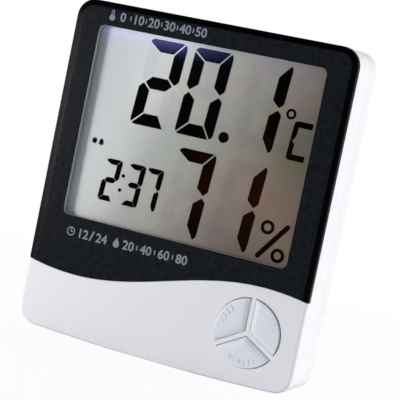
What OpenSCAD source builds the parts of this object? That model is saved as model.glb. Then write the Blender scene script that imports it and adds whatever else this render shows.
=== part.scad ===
// Digital hygrometer clock: a flat white case with a black bezel, a large display,
// three sector buttons, a fold-out stand and one AAA cell. Front towards -Y, +Z up.
// Depths called d are counted from the face of the bezel towards the back.

/* [Case] */
// Width of the case
case_w = 98; // [96:0.5:108]
// Height of the case
case_h = 110; // [108:0.5:120]
// Depth from the face of the bezel to the back
case_d = 20; // [19.5:0.25:23]
// Radius of the four corners seen from the front
corner_r = 6; // [5:0.5:8]
// How far the bottom edge bows down
bow = 1.5; // [0.8:0.1:2.5]
// Height of the flat that the bow stands on
foot_cut = 0.2; // [0.1:0.05:0.4]
// Rounding of the outer edges
edge_r = 1; // [0.5:0.1:1.4]
// Thickness of the outer walls
wall = 2; // [1.6:0.1:2.3]
// Depth of the joint between front case and rear cover
split_d = 13; // [12.5:0.25:14]

/* [Bezel] */
// Thickness of the bezel
bezel_t = 2.4; // [2.2:0.1:2.6]
// Width of the sloping rim of the bezel
rim_w = 2.8; // [1.5:0.1:3.2]
// How far the rim falls back at the sides
rim_fall = 0.6; // [0.4:0.05:0.8]
// How far the white face lies behind the face of the bezel
face_step = 0.5; // [0.3:0.1:0.7]
// Bezel beside the window
bezel_side = 9.25; // [9:0.25:10.5]
// Bezel above the window
bezel_top = 7.7; // [7:0.1:9]
// Height of the window's lower edge
window_z = 39.5; // [37:0.5:42]
// Corner radius of the window
window_r = 2; // [1:0.5:3]
// Mean height of the wave
wave_z = 26.5; // [24:0.5:28]
// Height of the wave above its mean
wave_a = 5.85; // [4:0.05:6.5]
// Where the wave crosses its mean, from the middle
wave_x = 1.2; // [-3:0.1:4]
// Length of half a wave
wave_l = 65.6; // [60:0.2:72]

/* [Display] */
// Thickness of the window lens
lens_t = 1.2; // [1:0.05:1.3]
// How far the bezel reaches over the lens
lens_lap = 1.5; // [1:0.1:1.8]
// Thickness of each glass of the display
glass_t = 0.4; // [0.3:0.05:0.5]
// Height of the large digits
digit_h = 28.2; // [26:0.1:28.6]
// Width of the large digits
digit_w = 13.4; // [12:0.1:14]
// Stroke of the large digits
digit_s = 3.95; // [3:0.05:4.5]
// Height of the clock digits
clock_h = 13.9; // [12:0.1:15]
// Width of the clock digits
clock_w = 5.9; // [5:0.1:6.2]
// Stroke of the clock digits
clock_s = 1.8; // [1.2:0.05:1.9]
// Lean of the digits, in degrees
slant = 3.9; // [0:0.1:8]

/* [Front buttons] */
// Radius of the hole for the three buttons
ring_r = 11.2; // [10.5:0.1:12]
// Button centre from the right side of the case
ring_side = 17.5; // [17:0.5:19]
// Height of the button centre
ring_z = 17.1; // [16:0.1:18]
// Width of the ribs between the buttons
rib_w = 1.5; // [1.3:0.1:2]
// How far the buttons stand out of the white face
crown = 0.8; // [0.6:0.1:1.2]
// Travel of the front buttons
press = 0.5; // [0.3:0.05:0.6]

/* [Board] */
// Depth of the board's front face
board_d = 7.6; // [7.2:0.1:7.9]
// Thickness of the board
board_t = 1.2; // [1:0.1:1.6]
// Height of the switch bodies
switch_h = 3.4; // [3:0.1:3.6]
// Side of the switch bodies
switch_w = 6; // [5.5:0.1:6.4]

/* [Battery] */
// Radius of the cell
cell_r = 5.25; // [5:0.05:5.3]
// Length of the cell with its nub
cell_l = 44.5; // [43.5:0.1:45]
// Length of the spring under the cell
spring_l = 6; // [5:0.25:7]
// Turns of the spring
spring_turns = 4; // [3:1:4]
// Radius of the spring wire
spring_wire = 0.3; // [0.2:0.05:0.35]
// Thickness of the battery door
door_t = 1.2; // [1:0.1:1.5]
// Height of the battery bay's lower end
bay_z = 6.5; // [6:0.25:8]

/* [Stand] */
// Width of the stand
stand_w = 44; // [36:1:45]
// Thickness of the stand
stand_t = 2.4; // [2:0.1:2.6]
// Height of the stand's hinge axis
hinge_z = 58.6; // [52:0.2:62]
// Height of the stand's lower edge
stand_z = 4; // [3.8:0.1:6]
// Radius of the stand's hinge pins
pin_r = 0.9; // [0.7:0.05:1]
// Angle at which the stand meets its stop
stand_open = 35; // [25:1:40]

/* [Back] */
// Radius of the hanging hole
hang_r = 4; // [3.5:0.25:4.5]
// Radius of the rear buttons
rear_r = 2.4; // [2:0.1:2.8]
// Height of the unit button
unit_z = 52; // [50:0.5:56]
// Height of the reset button
reset_z = 42; // [40:0.5:43.5]

/* [Hidden] */
$fn = 48;

// Clearances: still pieces, pieces glued face to face, moving pieces, running pins in their bores
gap = 0.1;
seam = 0.05;
slide = 0.25;
fit = 0.05;
// How far a cut runs past a face, and how far a boss or rib roots in its wall
over = 1;
root = 0.5;
web = 1;

// The face of the bezel in Y, so that the whole object is centred on Y = 0
proud = max(0, crown - face_step);
face_y = -(case_d - proud) / 2;

// Bow, corners and walls
half_w = case_w / 2;
bow_r = (half_w * half_w + bow * bow) / (2 * bow);
corner_x = half_w - corner_r;
bow_mid = bow_r - foot_cut;
corner_z = bow_mid - sqrt(pow(bow_r - corner_r, 2) - corner_x * corner_x);
bow_a = asin(corner_x / (bow_r - corner_r));
face_back = face_step + wall;
seat_d = bezel_t + gap;
shelf_t = 1.5;
shelf_back = seat_d + shelf_t;
inner_back = case_d - wall;

// Window and lens
window_w = case_w - 2 * bezel_side;
window_top = case_h - bezel_top;
window_h = window_top - window_z;
window_mid = (window_top + window_z) / 2;
tape_t = 0.15;
rim_r = 0.35;
lens_back = bezel_t - seam;
lens_d = lens_back - lens_t;
lap_d = lens_d - tape_t;
lap_r = window_r + lens_lap / 2;
tape_step = 0.2;

// Display stack behind the lens
film_t = 0.15;
film_in = 0.5;
glass_lap = 1.45;
ledge_h = 2.4;
glass_w = window_w + 2 * glass_lap;
glass_z = window_z - glass_lap;
rear_top = window_top + film_in;
glass_top = rear_top + ledge_h;
film_d = lens_back + gap;
glass_d = film_d + film_t;
segment_d = glass_d + glass_t;
segment_t = 0.06;
rear_d = segment_d + gap;
reflector_d = rear_d + glass_t;
reflector_back = reflector_d + film_t;

// Frame behind the display and rubber strip at its top
frame_d = reflector_back + gap;
frame_t = 0.9;
frame_back = frame_d + frame_t;
frame_bar = 5;
strip_w = 72;
strip_t = 1.8;
strip_z = rear_top + 3 * gap;
post_r = 1.5;
frame_mid = frame_bar / 2;

// Screw bosses: all lie on one line beside the display
boss_r = 2.7;
boss_side = 2.4;
boss_up = 0.8;
boss_down = 7.5;
boss_x = half_w - wall - boss_side;
boss_low = corner_z + boss_up;
boss_top = case_h - boss_down;
pilot_r = 1;
pilot_more = 0.5;
boss_room = 0.6;
screw_room = 0.25;
case_corners = [[-boss_x, boss_low], [boss_x, boss_low], [-boss_x, boss_top], [boss_x, boss_top]];
column_r = 3.2;
column_floor = 1.5;
column_seat = split_d + column_floor;
head_hole_r = 2.3;
head_r = 2;
head_t = 1.6;
case_screw_l = 7;

// Battery bay, its cell and its door
bay_wall = 1.2;
bay_gap = 0.35;
bay_side = 6.2;
cell_gap = 0.15;
bay_in = cell_r + bay_gap;
bay_out = bay_in + bay_wall;
bay_x = -half_w + wall + bay_side + bay_out;
cell_d = case_d - door_t - cell_gap - cell_r;
bay_floor = cell_d - cell_r - cell_gap;
plate_t = 0.3;
spring_z = bay_z + gap + plate_t;
cell_z = spring_z + spring_l;
cell_top = cell_z + cell_l;
bay_top = cell_top + seam + plate_t + gap;
nub_r = 1.9;
nub_h = 1;
can_edge = 0.4;
sleeve_t = 0.12;
sleeve_in = 0.6;
can_r = cell_r - sleeve_t - gap / 10;
plate_in = 0.3;
plate_d0 = bay_floor + 2 * plate_in;
plate_d1 = case_d - door_t - 2 * plate_in;
tail_w = 2.4;
tail_out = 0.6;
tail_x = bay_x + bay_out + tail_out;
tail_d = board_d + board_t + 2.4;
door_pin_r = 0.5;
door_knuckle = 0.9;
door_sink = 1;
door_d = case_d - door_sink;
door_lap = 0.9;
door_w = 2 * (bay_in + door_lap);
door_top = 1.6;
door_axis = bay_top + door_top;
door_low = bay_z - door_lap;
door_gap = 0.2;
door_pin_l = 1;
door_boss = 1.6;
knuckle_gap = 0.25;
groove_w = 0.9;
groove_t = 0.4;

// Board, its screws, switches and other pieces
board_back = board_d + board_t;
board_in = 0.2;
board_under = 3.5;
bay_room = 0.8;
leg_left = 12.5;
leg_right = 9.5;
leg_z = 5;
ear_r = 2;
ear_h = 3;
ear_in = 4;
ear_drop = 8.5;
board_x = glass_w / 2 - board_in;
board_low = window_z - board_under;
board_left = bay_x + bay_out + bay_room;
board_split = bay_top + bay_wall + bay_room + root;
board_top = strip_z + strip_t + board_in;
ring_x = half_w - ring_side;
board_boss_r = 2.4;
board_pilot_r = 0.85;
board_hole = 0.3;
board_points = [
  [boss_x, board_low + ear_in], [-boss_x, board_split + ear_in],
  [boss_x, boss_top - ear_drop], [-boss_x, boss_top - ear_drop]
];
board_head_r = 1.9;
board_head_t = 1.2;
rest_r = 2;
rest_x = 14;
rest_drop = 17;
rest_points = [[ring_x, ring_z], [rest_x, board_top - rest_drop]];
peg_r = 1;
peg_low = 17;
peg_high = 13;
peg_points = [for (side = [-1, 1]) for (up = [-peg_low, peg_high]) [side * boss_x, window_mid + up]];

// Pieces on the back of the board
drop_r = 5;
drop_h = 1.6;
drop_z = 14;
crystal_r = 1;
crystal_l = 6;
crystal_x = 9;
crystal_z = 5;
can_x = [20, 27];
can_z = 7;
can_h = 5;
can_w = 2.5;
chip_l = 1.6;
chip_w = 0.9;
chip_t = 0.5;
chip_step = 3.2;
chip_x = -9;
chip_z = 22;
chip_count = 7;
sensor_w = 12;
sensor_h = 8;
sensor_t = 3;
sensor_wall = 1;
sensor_drop = 18;
bead_r = 1.2;
bead_up = 3.2;
bead_side = 10;
leg_r = 0.25;
buzzer_r = 6.3;
buzzer_t = 4.5;
buzzer_x = -20;
buzzer_z = 15;
buzzer_hole = 1;

// Buttons and their plungers
flange_t = 0.8;
flange_lap = 1;
flange_in = 0.3;
flange_d = face_back + gap;
flange_back = flange_d + flange_t;
slope_w = 1.3;
slope_r = 0.6;
switch_at = 6.2;
sectors = [150, 30, 270];
plunger_r = 1.65;
plunger_in = 1.6;
plunger_gap = 0.02;
bore_depth = plunger_in + press + slide;
rear_side = 15;
rear_x = half_w - rear_side;
rear_sink = 0.2;
rear_face = case_d - rear_sink;
rear_flange = 0.9;
rear_lap = 1;
rear_stem = 1.5;
rear_gap = 0.9;
sensor_x = rear_x - sensor_w / 6;

// Stand and its recess in the back
stand_sink = 0.2;
stand_back = case_d - stand_sink;
stand_axis_d = stand_back - stand_t / 2;
heel = 1.2;
recess_under = 0.8;
recess_d = stand_back - stand_t - recess_under;
recess_wall = 1.2;
recess_top = hinge_z + stand_t / 2 * sin(stand_open) + heel * cos(stand_open) + gap;
recess_w = stand_w + 2 * slide;
pin_l = 1.8;
pin_short = 0.2;
pin_boss = 2;
stand_r = 1;
notch_r = 9;
notch_down = 4;
grip_w = 20;
grip_h = 1;
grip_t = 0.5;
grip_z = 9;
grip_step = 2.4;
hollow_side = 4;
hollow_z = 21;
hollow_t = 1;

// Hanging slot in the back
hang_drop = 15;
hang_z = case_h - hang_drop;
hang_slot = 2.25;
hang_rise = 5;
pocket_t = 4;
pocket_in = hang_r + 1.2;
pocket_z0 = hang_z - pocket_in;
pocket_z1 = hang_z + hang_rise + hang_slot + over;

// Vents and sound holes
vent_w = 1.5;
vent_h = 15;
vent_step = 3.4;
vent_count = 6;
vent_x = sensor_x + vent_w / 3 - vent_step * (vent_count - 1) / 2;
vent_z = boss_top - sensor_drop - 2;
sound_r = 0.8;
sound_ring = 3.5;

// Places of the digits and signs: left edges from the middle of the window, heights from its edges
digit_down = 1.1;
digit_up = 1.3;
clock_up = 6.9;
tens_x = -24;
ones_x = -7.8;
tenths_x = 12.6;
dot_x = 9.4;
dot_z = 1.9;
dot_r = 1.75;
humid_tens_x = -6.6;
humid_ones_x = 11;
big_gap = 0.5;
small_gap = 0.12;
big_round = 0.45;
small_round = 0.63;
degree_x = 30.05;
degree_z = 13.5;
degree_r = 1.65;
degree_hole = 0.88;
unit_x = 31;
unit_down = 0.5;
unit_w = 6.1;
unit_h = 12.3;
unit_s = 1.9;
unit_side = 1.65;
unit_notch = 0.5;
unit_round = 1.2;
percent_r = 2.25;
percent_hole = 1.22;
percent_x = [30.05, 35.1];
percent_z = [9.8, 1.8];
slash_l = 14.8;
slash_w = 1.6;
slash_a = 53;
hour_x = -30.1;
minute_tens_x = -21.5;
minute_x = -15;
colon_r = 0.6;
colon_x = [-22.3, -22.6];
colon_z = [9.25, 4.5];
bell_x = -32.5;
bell_z = 18.5;
bell_r = 0.72;
sun_x = -35;
sun_r = 1.2;

// Leads from the contact tails to pads on the back of the board
lead_r = 0.4;
lead_out = 1.6;
pad_in = 3;

// Points of an arc round a centre
function arc(cx, cz, r, a0, a1, n) =
  [for (i = [0:n]) let (a = a0 + (a1 - a0) * i / n) [cx + r * cos(a), cz + r * sin(a)]];

// Case outline seen from the front, drawn in by inset
function outline_points(inset) = concat(
  arc(corner_x, corner_z, corner_r - inset, -90 + bow_a, 0, 8),
  arc(corner_x, case_h - corner_r, corner_r - inset, 0, 90, 8),
  arc(-corner_x, case_h - corner_r, corner_r - inset, 90, 180, 8),
  arc(-corner_x, corner_z, corner_r - inset, 180, 270 - bow_a, 8),
  [for (i = [1:9]) let (a = -90 - bow_a + 2 * bow_a * i / 10)
    [(bow_r - inset) * cos(a), bow_mid + (bow_r - inset) * sin(a)]]
);
module outline(inset) {
  polygon(outline_points(inset));
}

// Height of the wave at x
function wave(x) = wave_z + wave_a * sin(180 * (x - wave_x) / wave_l);
function wave_points(shift) =
  [for (i = [0:28]) let (x = -half_w - over + (case_w + 2 * over) * i / 28) [x, wave(x) + shift]];
module above_wave(shift) {
  polygon(concat([[half_w + over, case_h + over], [-half_w - over, case_h + over]], wave_points(shift)));
}
module below_wave(shift) {
  polygon(concat([[half_w + over, -over - bow], [-half_w - over, -over - bow]], wave_points(-shift)));
}

// Rectangle between corners, and one with round corners about a centre
module area(x0, x1, z0, z1) {
  translate([x0, z0]) square([x1 - x0, z1 - z0]);
}
module round_area(x, z, w, h, r) {
  polygon(concat(
    arc(x + w / 2 - r, z - h / 2 + r, r, -90, 0, 6), arc(x + w / 2 - r, z + h / 2 - r, r, 0, 90, 6),
    arc(x - w / 2 + r, z + h / 2 - r, r, 90, 180, 6), arc(x - w / 2 + r, z - h / 2 + r, r, 180, 270, 6)
  ));
}

// Solid of a front view between two depths, and a round bar along the depth
module slab(d0, d1) {
  translate([0, face_y + d1, 0]) rotate([90, 0, 0]) linear_extrude(d1 - d0) children();
}
module bar(x, z, r, d0, d1) {
  translate([x, face_y + d1, z]) rotate([90, 0, 0]) cylinder(r = r, h = d1 - d0);
}
// Round bar along X
module cross_bar(x0, x1, d, z, r) {
  translate([x0, face_y + d, z]) rotate([0, 90, 0]) cylinder(r = r, h = x1 - x0);
}

// Outer body between two depths with its edge rounded at the front or at the back
module rounded_body(d0, d1, r, at_back) {
  difference() {
    hull() edge_slices(d0, d1, r, at_back);
    translate([-case_w, -case_d, -case_h]) cube([2 * case_w, 2 * case_d, case_h]);
  }
}
module edge_slices(d0, d1, r, at_back) {
  for (a = [0:18:90]) {
    t = r * (1 - sin(a));
    slab(at_back ? d0 : d0 + t, at_back ? d1 - t : d1) outline(r * (1 - cos(a)));
  }
}

// White front shell: face below the wave, sunken shelf above it, bosses behind
module front_case() {
  color("whitesmoke") difference() {
    union() {
      difference() {
        rounded_body(face_step, split_d, edge_r, false);
        slab(face_back, split_d + over) intersection() {
          outline(wall);
          below_wave(wall);
        }
        slab(shelf_back, split_d + over) outline(wall);
        slab(-over, seat_d) above_wave(-gap);
      }
      for (p = case_corners) boss(p, boss_r, split_d - gap);
      for (p = board_points) boss(p, board_boss_r, board_d);
    }
    slab(-over, shelf_back + over)
      area(-glass_w / 2 - gap, glass_w / 2 + gap, glass_z - gap, glass_top + gap);
    for (a = sectors) slab(-over, face_back + over) sector(a, ring_r, rib_w / 2);
    for (p = case_corners) bar(p[0], p[1], pilot_r, column_seat - case_screw_l - pilot_more, split_d + over);
    for (p = board_points) bar(p[0], p[1], board_pilot_r, shelf_back + pilot_more, board_d + over);
    for (p = peg_points) bar(p[0], p[1], peg_r + fit, seat_d - over, shelf_back + over);
  }
}
// Screw boss that grows out of the front wall and the side wall
module boss(p, r, d1) {
  d0 = (p[1] > wave_z + wave_a ? shelf_back : face_back) - root;
  side_x = sign(p[0]) * (half_w - wall / 2);
  bar(p[0], p[1], r, d0, d1);
  slab(d0, d1) area(min(p[0], side_x), max(p[0], side_x), p[1] - web, p[1] + web);
}

// One of the three button sectors: its middle lies at angle a, its straight sides are drawn in
module sector(a, r, inset) {
  tip = inset / sin(60);
  side_x = tip + 2 * r * cos(60);
  side_z = 2 * r * sin(60);
  translate([ring_x, ring_z]) intersection() {
    circle(r = r);
    rotate(a) polygon([[tip, 0], [side_x, -side_z], [tip + 3 * r, 0], [side_x, side_z]]);
  }
}

// Black bezel with a sloping rim, its window and a rebate for the lens behind
module bezel() {
  color("#20252b") {
    difference() {
      hull() {
        slab(0, bezel_t) outline(rim_w);
        edge_slices(rim_fall, bezel_t, rim_r, false);
      }
      slab(-over, bezel_t + over) below_wave(0);
      slab(-over, bezel_t + over) round_area(0, window_mid, window_w, window_h, window_r);
      slab(lap_d, bezel_t + over)
        round_area(0, window_mid, window_w + 2 * lens_lap, window_h + 2 * lens_lap, lap_r);
    }
    for (p = peg_points) bar(p[0], p[1], peg_r, bezel_t - root, shelf_back - gap);
  }
}

module window_lens() {
  color("#d8e4ea", 0.35) slab(lens_d, lens_back)
    round_area(0, window_mid, window_w + 2 * (lens_lap - gap), window_h + 2 * (lens_lap - gap), lap_r);
}

// Tape ring between bezel and lens
module lens_tape() {
  color("#303236") slab(lap_d, lens_d) difference() {
    round_area(0, window_mid, window_w + 2 * (lens_lap - gap), window_h + 2 * (lens_lap - gap), lap_r);
    round_area(0, window_mid, window_w + 2 * tape_step, window_h + 2 * tape_step, window_r);
  }
}

module film_area() {
  area(-glass_w / 2 + film_in, glass_w / 2 - film_in, glass_z + film_in, rear_top);
}
module front_polarizer() {
  color("#c4c8c6", 0.3) slab(film_d, glass_d) film_area();
}
module front_glass() {
  color("#cfd8d8", 0.3) slab(glass_d, segment_d) area(-glass_w / 2, glass_w / 2, glass_z, glass_top);
}
module rear_glass() {
  color("#c3c7c6") slab(rear_d, reflector_d) area(-glass_w / 2, glass_w / 2, glass_z, rear_top);
}
module reflector() {
  color("silver") slab(reflector_d, reflector_back) film_area();
}

// Points of one stroke of a digit: a top, b and c right, d bottom, e and f left, g middle.
// Round is the radius of the corners in strokes, and seam_a the angles at which corners are parted.
seam_a = [165, 63, 225, -73];
function stroke(k, w, h, s, g, round) = let (
    c = round * s, q = 0.7 * g, m = h / 2, t = s / 2, half = asin(g / (2 * c)),
    right = w - s, far = w - c, up = h - s, high = h - c,
    tip = 0.35 * s, end_out = 0.9 * t, end_tip = 1.1 * q, end_in = t + 1.5 * q
  )
  k == "a" ? concat(
    arc(c, high, c, seam_a[0] - half, 90, 3), arc(far, high, c, 90, seam_a[1] + half, 2),
    [[right - q, up], [s + q, up]]
  ) :
  k == "b" ? concat(
    arc(far, high, c, seam_a[1] - half, 0, 3),
    [[w, m + end_out], [w - tip, m + end_tip], [right, m + end_in], [right, up - q]]
  ) :
  k == "c" ? concat(
    arc(far, c, c, seam_a[3] + half, 0, 3),
    [[w, m - end_out], [w - tip, m - end_tip], [right, m - end_in], [right, s + q]]
  ) :
  k == "d" ? concat(
    arc(c, c, c, seam_a[2] + half, 270, 2), arc(far, c, c, -90, seam_a[3] - half, 1),
    [[right - q, s], [s + q, s]]
  ) :
  k == "e" ? concat(
    arc(c, c, c, seam_a[2] - half, 180, 2),
    [[0, m - end_out], [tip, m - end_tip], [s, m - end_in], [s, s + q]]
  ) :
  k == "f" ? concat(
    arc(c, high, c, seam_a[0] + half, 180, 1),
    [[0, m + end_out], [tip, m + end_tip], [s, m + end_in], [s, up - q]]
  ) :
  [[t, m], [s, m + t], [right, m + t], [w - t, m], [right, m - t], [s, m - t]];
// The sign of the unit: one open stroke with square ends, almost parted by a notch in the middle
module unit_sign(x, z, w, h) {
  m = h / 2;
  leaning(concat(
    arc(unit_round, h - unit_round, unit_round, 90, 180, 4),
    arc(unit_round, unit_round, unit_round, 180, 270, 4),
    [[w, 0], [w, unit_s], [unit_side, unit_s], [unit_side, m - unit_notch - unit_s / 4]],
    [[unit_notch, m], [unit_side - unit_notch, m + unit_notch], [unit_side, m + unit_s]],
    [[unit_side, h - unit_s], [w, h - unit_s], [w, h]]
  ), x, z);
}
module leaning(points, x, z) {
  polygon([for (p = points) [x + p[0] + p[1] * tan(slant), z + p[1]]]);
}
// Digit made of the named strokes, leaning to the right, with its lower left corner at x, z
module digit(strokes, x, z, w, h, s, g, round) {
  for (k = strokes) leaning(stroke(k, w, h, s, g, round), x, z);
}
module ring(x, z, r, hole) {
  translate([x, z]) difference() {
    circle(r = r);
    circle(r = hole);
  }
}

// Lit strokes of the display: 20.1 and its unit, 71 and its unit, 2:37, a small sun and a bell
module segments() {
  top_z = window_top - digit_h - digit_down;
  low_z = window_z + digit_up;
  clock_z = window_z + clock_up;
  color("#14141a") slab(segment_d, segment_d + segment_t) {
    large(["a", "b", "g", "e", "d"], tens_x, top_z);
    large(["a", "b", "c", "d", "e", "f"], ones_x, top_z);
    large(["b", "c"], tenths_x, top_z);
    translate([dot_x, top_z + dot_z]) circle(r = dot_r);
    ring(degree_x, top_z + degree_z, degree_r, degree_hole);
    unit_sign(unit_x, top_z - unit_down, unit_w, unit_h);
    large(["a", "b", "c"], humid_tens_x, low_z);
    large(["b", "c"], humid_ones_x, low_z);
    for (i = [0, 1]) ring(percent_x[i], low_z + percent_z[i], percent_r, percent_hole);
    translate([(percent_x[0] + percent_x[1]) / 2, low_z + (percent_z[0] + percent_z[1]) / 2])
      rotate(slash_a) round_area(0, 0, slash_l, slash_w, slash_w / 2);
    small(["a", "b", "g", "e", "d"], hour_x, clock_z);
    small(["a", "b", "g", "c", "d"], minute_tens_x, clock_z);
    small(["a", "b", "c"], minute_x, clock_z);
    for (i = [0, 1]) translate([colon_x[i], clock_z + colon_z[i]]) circle(r = colon_r);
    bell(bell_x, clock_z + bell_z, bell_r);
    sun(sun_x, clock_z + bell_z, sun_r);
  }
}
module large(strokes, x, z) {
  digit(strokes, x, z, digit_w, digit_h, digit_s, big_gap, big_round);
}
module small(strokes, x, z) {
  digit(strokes, x, z, clock_w, clock_h, clock_s, small_gap, small_round);
}
// Small star of eight points that marks the morning, and a bell that marks the alarm
module sun(x, z, r) {
  polygon([for (i = [0:15]) let (a = 22.5 * i, reach = i % 2 == 0 ? r : 0.6 * r)
    [x + reach * cos(a), z + reach * sin(a)]]);
}
module bell(x, z, r) {
  polygon(concat(
    arc(x, z + 0.4 * r, r, 180, 0, 6),
    [[x + r, z - 0.4 * r], [x + 1.6 * r, z - 1.1 * r], [x - 1.6 * r, z - 1.1 * r], [x - r, z - 0.4 * r]]
  ));
  translate([x, z - 1.45 * r]) circle(r = 0.4 * r, $fn = 16);
}

// Frame that presses the display forward, with posts that stand on the board
module display_frame() {
  post_x = glass_w / 2 - frame_mid;
  posts = [
    [-post_x, boss_top - frame_bar], [post_x, boss_top - frame_bar], [post_x, glass_z + frame_mid],
    [board_left + frame_bar, glass_z + frame_mid], [-post_x, board_split + frame_mid]
  ];
  color("#d9dbd8") difference() {
    union() {
      slab(frame_d, frame_back) difference() {
        area(-glass_w / 2, glass_w / 2, glass_z, glass_top);
        area(-glass_w / 2 + frame_bar, glass_w / 2 - frame_bar, glass_z + frame_bar, strip_z - frame_bar);
      }
      for (p = posts) bar(p[0], p[1], post_r, frame_back - root, board_d - seam);
    }
    slab(frame_d - over, frame_back + over)
      area(-strip_w / 2 - gap, strip_w / 2 + gap, strip_z - gap, strip_z + strip_t + gap);
  }
}
module zebra_strip() {
  color("#4b4b4f") slab(segment_d + seam, board_d - seam)
    area(-strip_w / 2, strip_w / 2, strip_z, strip_z + strip_t);
}

// Board: wide behind the display, cut away for the battery bay, with a leg behind the buttons
module main_board() {
  color("#2f6b3c") difference() {
    slab(board_d, board_back) union() {
      area(-board_x, board_x, board_split, board_top);
      area(board_left, board_x, board_low, board_split + over);
      area(ring_x - leg_left, ring_x + leg_right, leg_z, board_low + over);
      for (p = board_points) let (tip = p[0] + sign(p[0]) * ear_r)
        area(min(tip, 0), max(tip, 0), p[1] - ear_h, p[1] + ear_h);
    }
    for (p = board_points) bar(p[0], p[1], board_pilot_r + board_hole, board_d - over, board_back + over);
  }
}

// Screw with a round head and a crossed recess, its tip towards the front
module screw(p, seat, length, shaft_r, r, t) {
  difference() {
    union() {
      bar(p[0], p[1], shaft_r, seat - length, seat + gap);
      bar(p[0], p[1], r, seat, seat + t);
    }
    slab(seat + t / 2, seat + t + over) translate(p) union() {
      area(-0.6 * r, 0.6 * r, -0.15 * r, 0.15 * r);
      area(-0.15 * r, 0.15 * r, -0.6 * r, 0.6 * r);
    }
  }
}
module board_screws() {
  length = board_back - shelf_back - 2 * pilot_more;
  color("silver") for (p = board_points)
    screw(p, board_back, length, board_pilot_r - fit, board_head_r, board_head_t);
}
module case_screws() {
  color("silver") for (p = case_corners) screw(p, column_seat, case_screw_l, pilot_r - fit, head_r, head_t);
}

// Epoxy drop over the chip
module chip_drop() {
  ball_r = (drop_r * drop_r + drop_h * drop_h) / (2 * drop_h);
  color("#17171a") intersection() {
    translate([0, face_y + board_back + drop_h - ball_r, board_split + drop_z]) sphere(r = ball_r, $fn = 96);
    bar(0, board_split + drop_z, drop_r, board_back, board_back + drop_h);
  }
}
module crystal() {
  d = board_back + crystal_r + seam;
  color("#b9bcc0") cross_bar(crystal_x, crystal_x + crystal_l, d, board_split + crystal_z, crystal_r);
}
module capacitors() {
  color("#26324a") for (x = can_x) {
    bar(x, board_split + can_z, can_w, board_back, board_back + 0.9 * can_h);
    bar(x, board_split + can_z, 0.8 * can_w, board_back, board_back + can_h);
  }
}
module resistors() {
  color("#2c2c2e") for (i = [0:chip_count - 1]) let (x = chip_x + chip_step * i, z = board_split + chip_z)
    slab(board_back, board_back + chip_t) area(x, x + chip_l, z, z + chip_w);
}

// Humidity sensor: a small plate of comb electrodes in an open housing
module sensor_area(inset) {
  z = boss_top - sensor_drop;
  area(
    sensor_x - sensor_w / 2 + inset, sensor_x + sensor_w / 2 - inset,
    z - sensor_h / 2 + inset, z + sensor_h / 2 - inset
  );
}
module sensor_housing() {
  color("#e9e7e0") slab(board_back, board_back + sensor_t) difference() {
    sensor_area(0);
    sensor_area(sensor_wall);
  }
}
module humidity_sensor() {
  color("#d7a83a") slab(board_back, board_back + sensor_wall) sensor_area(sensor_wall + gap);
}
module thermistor() {
  x = sensor_x - bead_side;
  z = boss_top - sensor_drop;
  color("#1d1d1f") {
    translate([x, face_y + board_back + bead_up, z]) sphere(r = bead_r);
    for (side = [-1, 1]) bar(x + side * bead_r / 2, z, leg_r, board_back, board_back + bead_up);
  }
}
module buzzer() {
  z = board_split + buzzer_z;
  back = board_back + buzzer_t;
  color("#1b1b1d") difference() {
    bar(buzzer_x, z, buzzer_r, board_back, back);
    bar(buzzer_x, z, buzzer_hole, back - over, back + over);
  }
}

// Switches with their plungers in round bores
module switch_body(x, z, d0, d1, front) {
  w = switch_w / 2;
  difference() {
    slab(d0, d1) area(x - w, x + w, z - w, z + w);
    bar(x, z, plunger_r + fit, front ? d0 - over : d1 - bore_depth, front ? d0 + bore_depth : d1 + over);
  }
}
module front_switches() {
  color("#2a2a2c") for (a = sectors)
    switch_body(ring_x + switch_at * cos(a), ring_z + switch_at * sin(a), board_d - switch_h, board_d, true);
}
module rear_switches() {
  color("#2a2a2c") for (z = [unit_z, reset_z])
    switch_body(rear_x, z, board_back, board_back + switch_h, false);
}
module front_plunger(a) {
  color("#c9c9c6") bar(
    ring_x + switch_at * cos(a), ring_z + switch_at * sin(a), plunger_r,
    flange_back + plunger_gap, board_d - switch_h + plunger_in
  );
}
module rear_plunger(z) {
  top = board_back + switch_h;
  color("#c9c9c6") bar(rear_x, z, plunger_r, top - plunger_in, top + rear_gap);
}

// Front button: a crowned sector with a flange behind the wall
module sector_button(a) {
  side = rib_w / 2 + slide;
  rim = ring_r - slide;
  color("#f1f1f4") union() {
    hull() {
      slab(face_step - crown, face_step) sector(a, rim - slope_r, side + slope_w);
      slab(face_step - 0.35 * crown, face_step) sector(a, rim - 0.25 * slope_r, side + 0.4 * slope_w);
      slab(face_step, face_step + root) sector(a, rim, side);
    }
    slab(face_step + root - gap, flange_d + gap) sector(a, rim, side);
    slab(flange_d, flange_back) sector(a, ring_r + flange_lap, flange_in);
  }
}
module rear_button(z) {
  flange_d1 = inner_back - gap;
  color("#f1f1f4") union() {
    bar(rear_x, z, rear_r, flange_d1 - gap, rear_face);
    bar(rear_x, z, rear_r + rear_lap, flange_d1 - rear_flange, flange_d1);
    bar(rear_x, z, rear_stem, board_back + switch_h + rear_gap + plunger_gap, flange_d1 - rear_flange + gap);
  }
}

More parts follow.
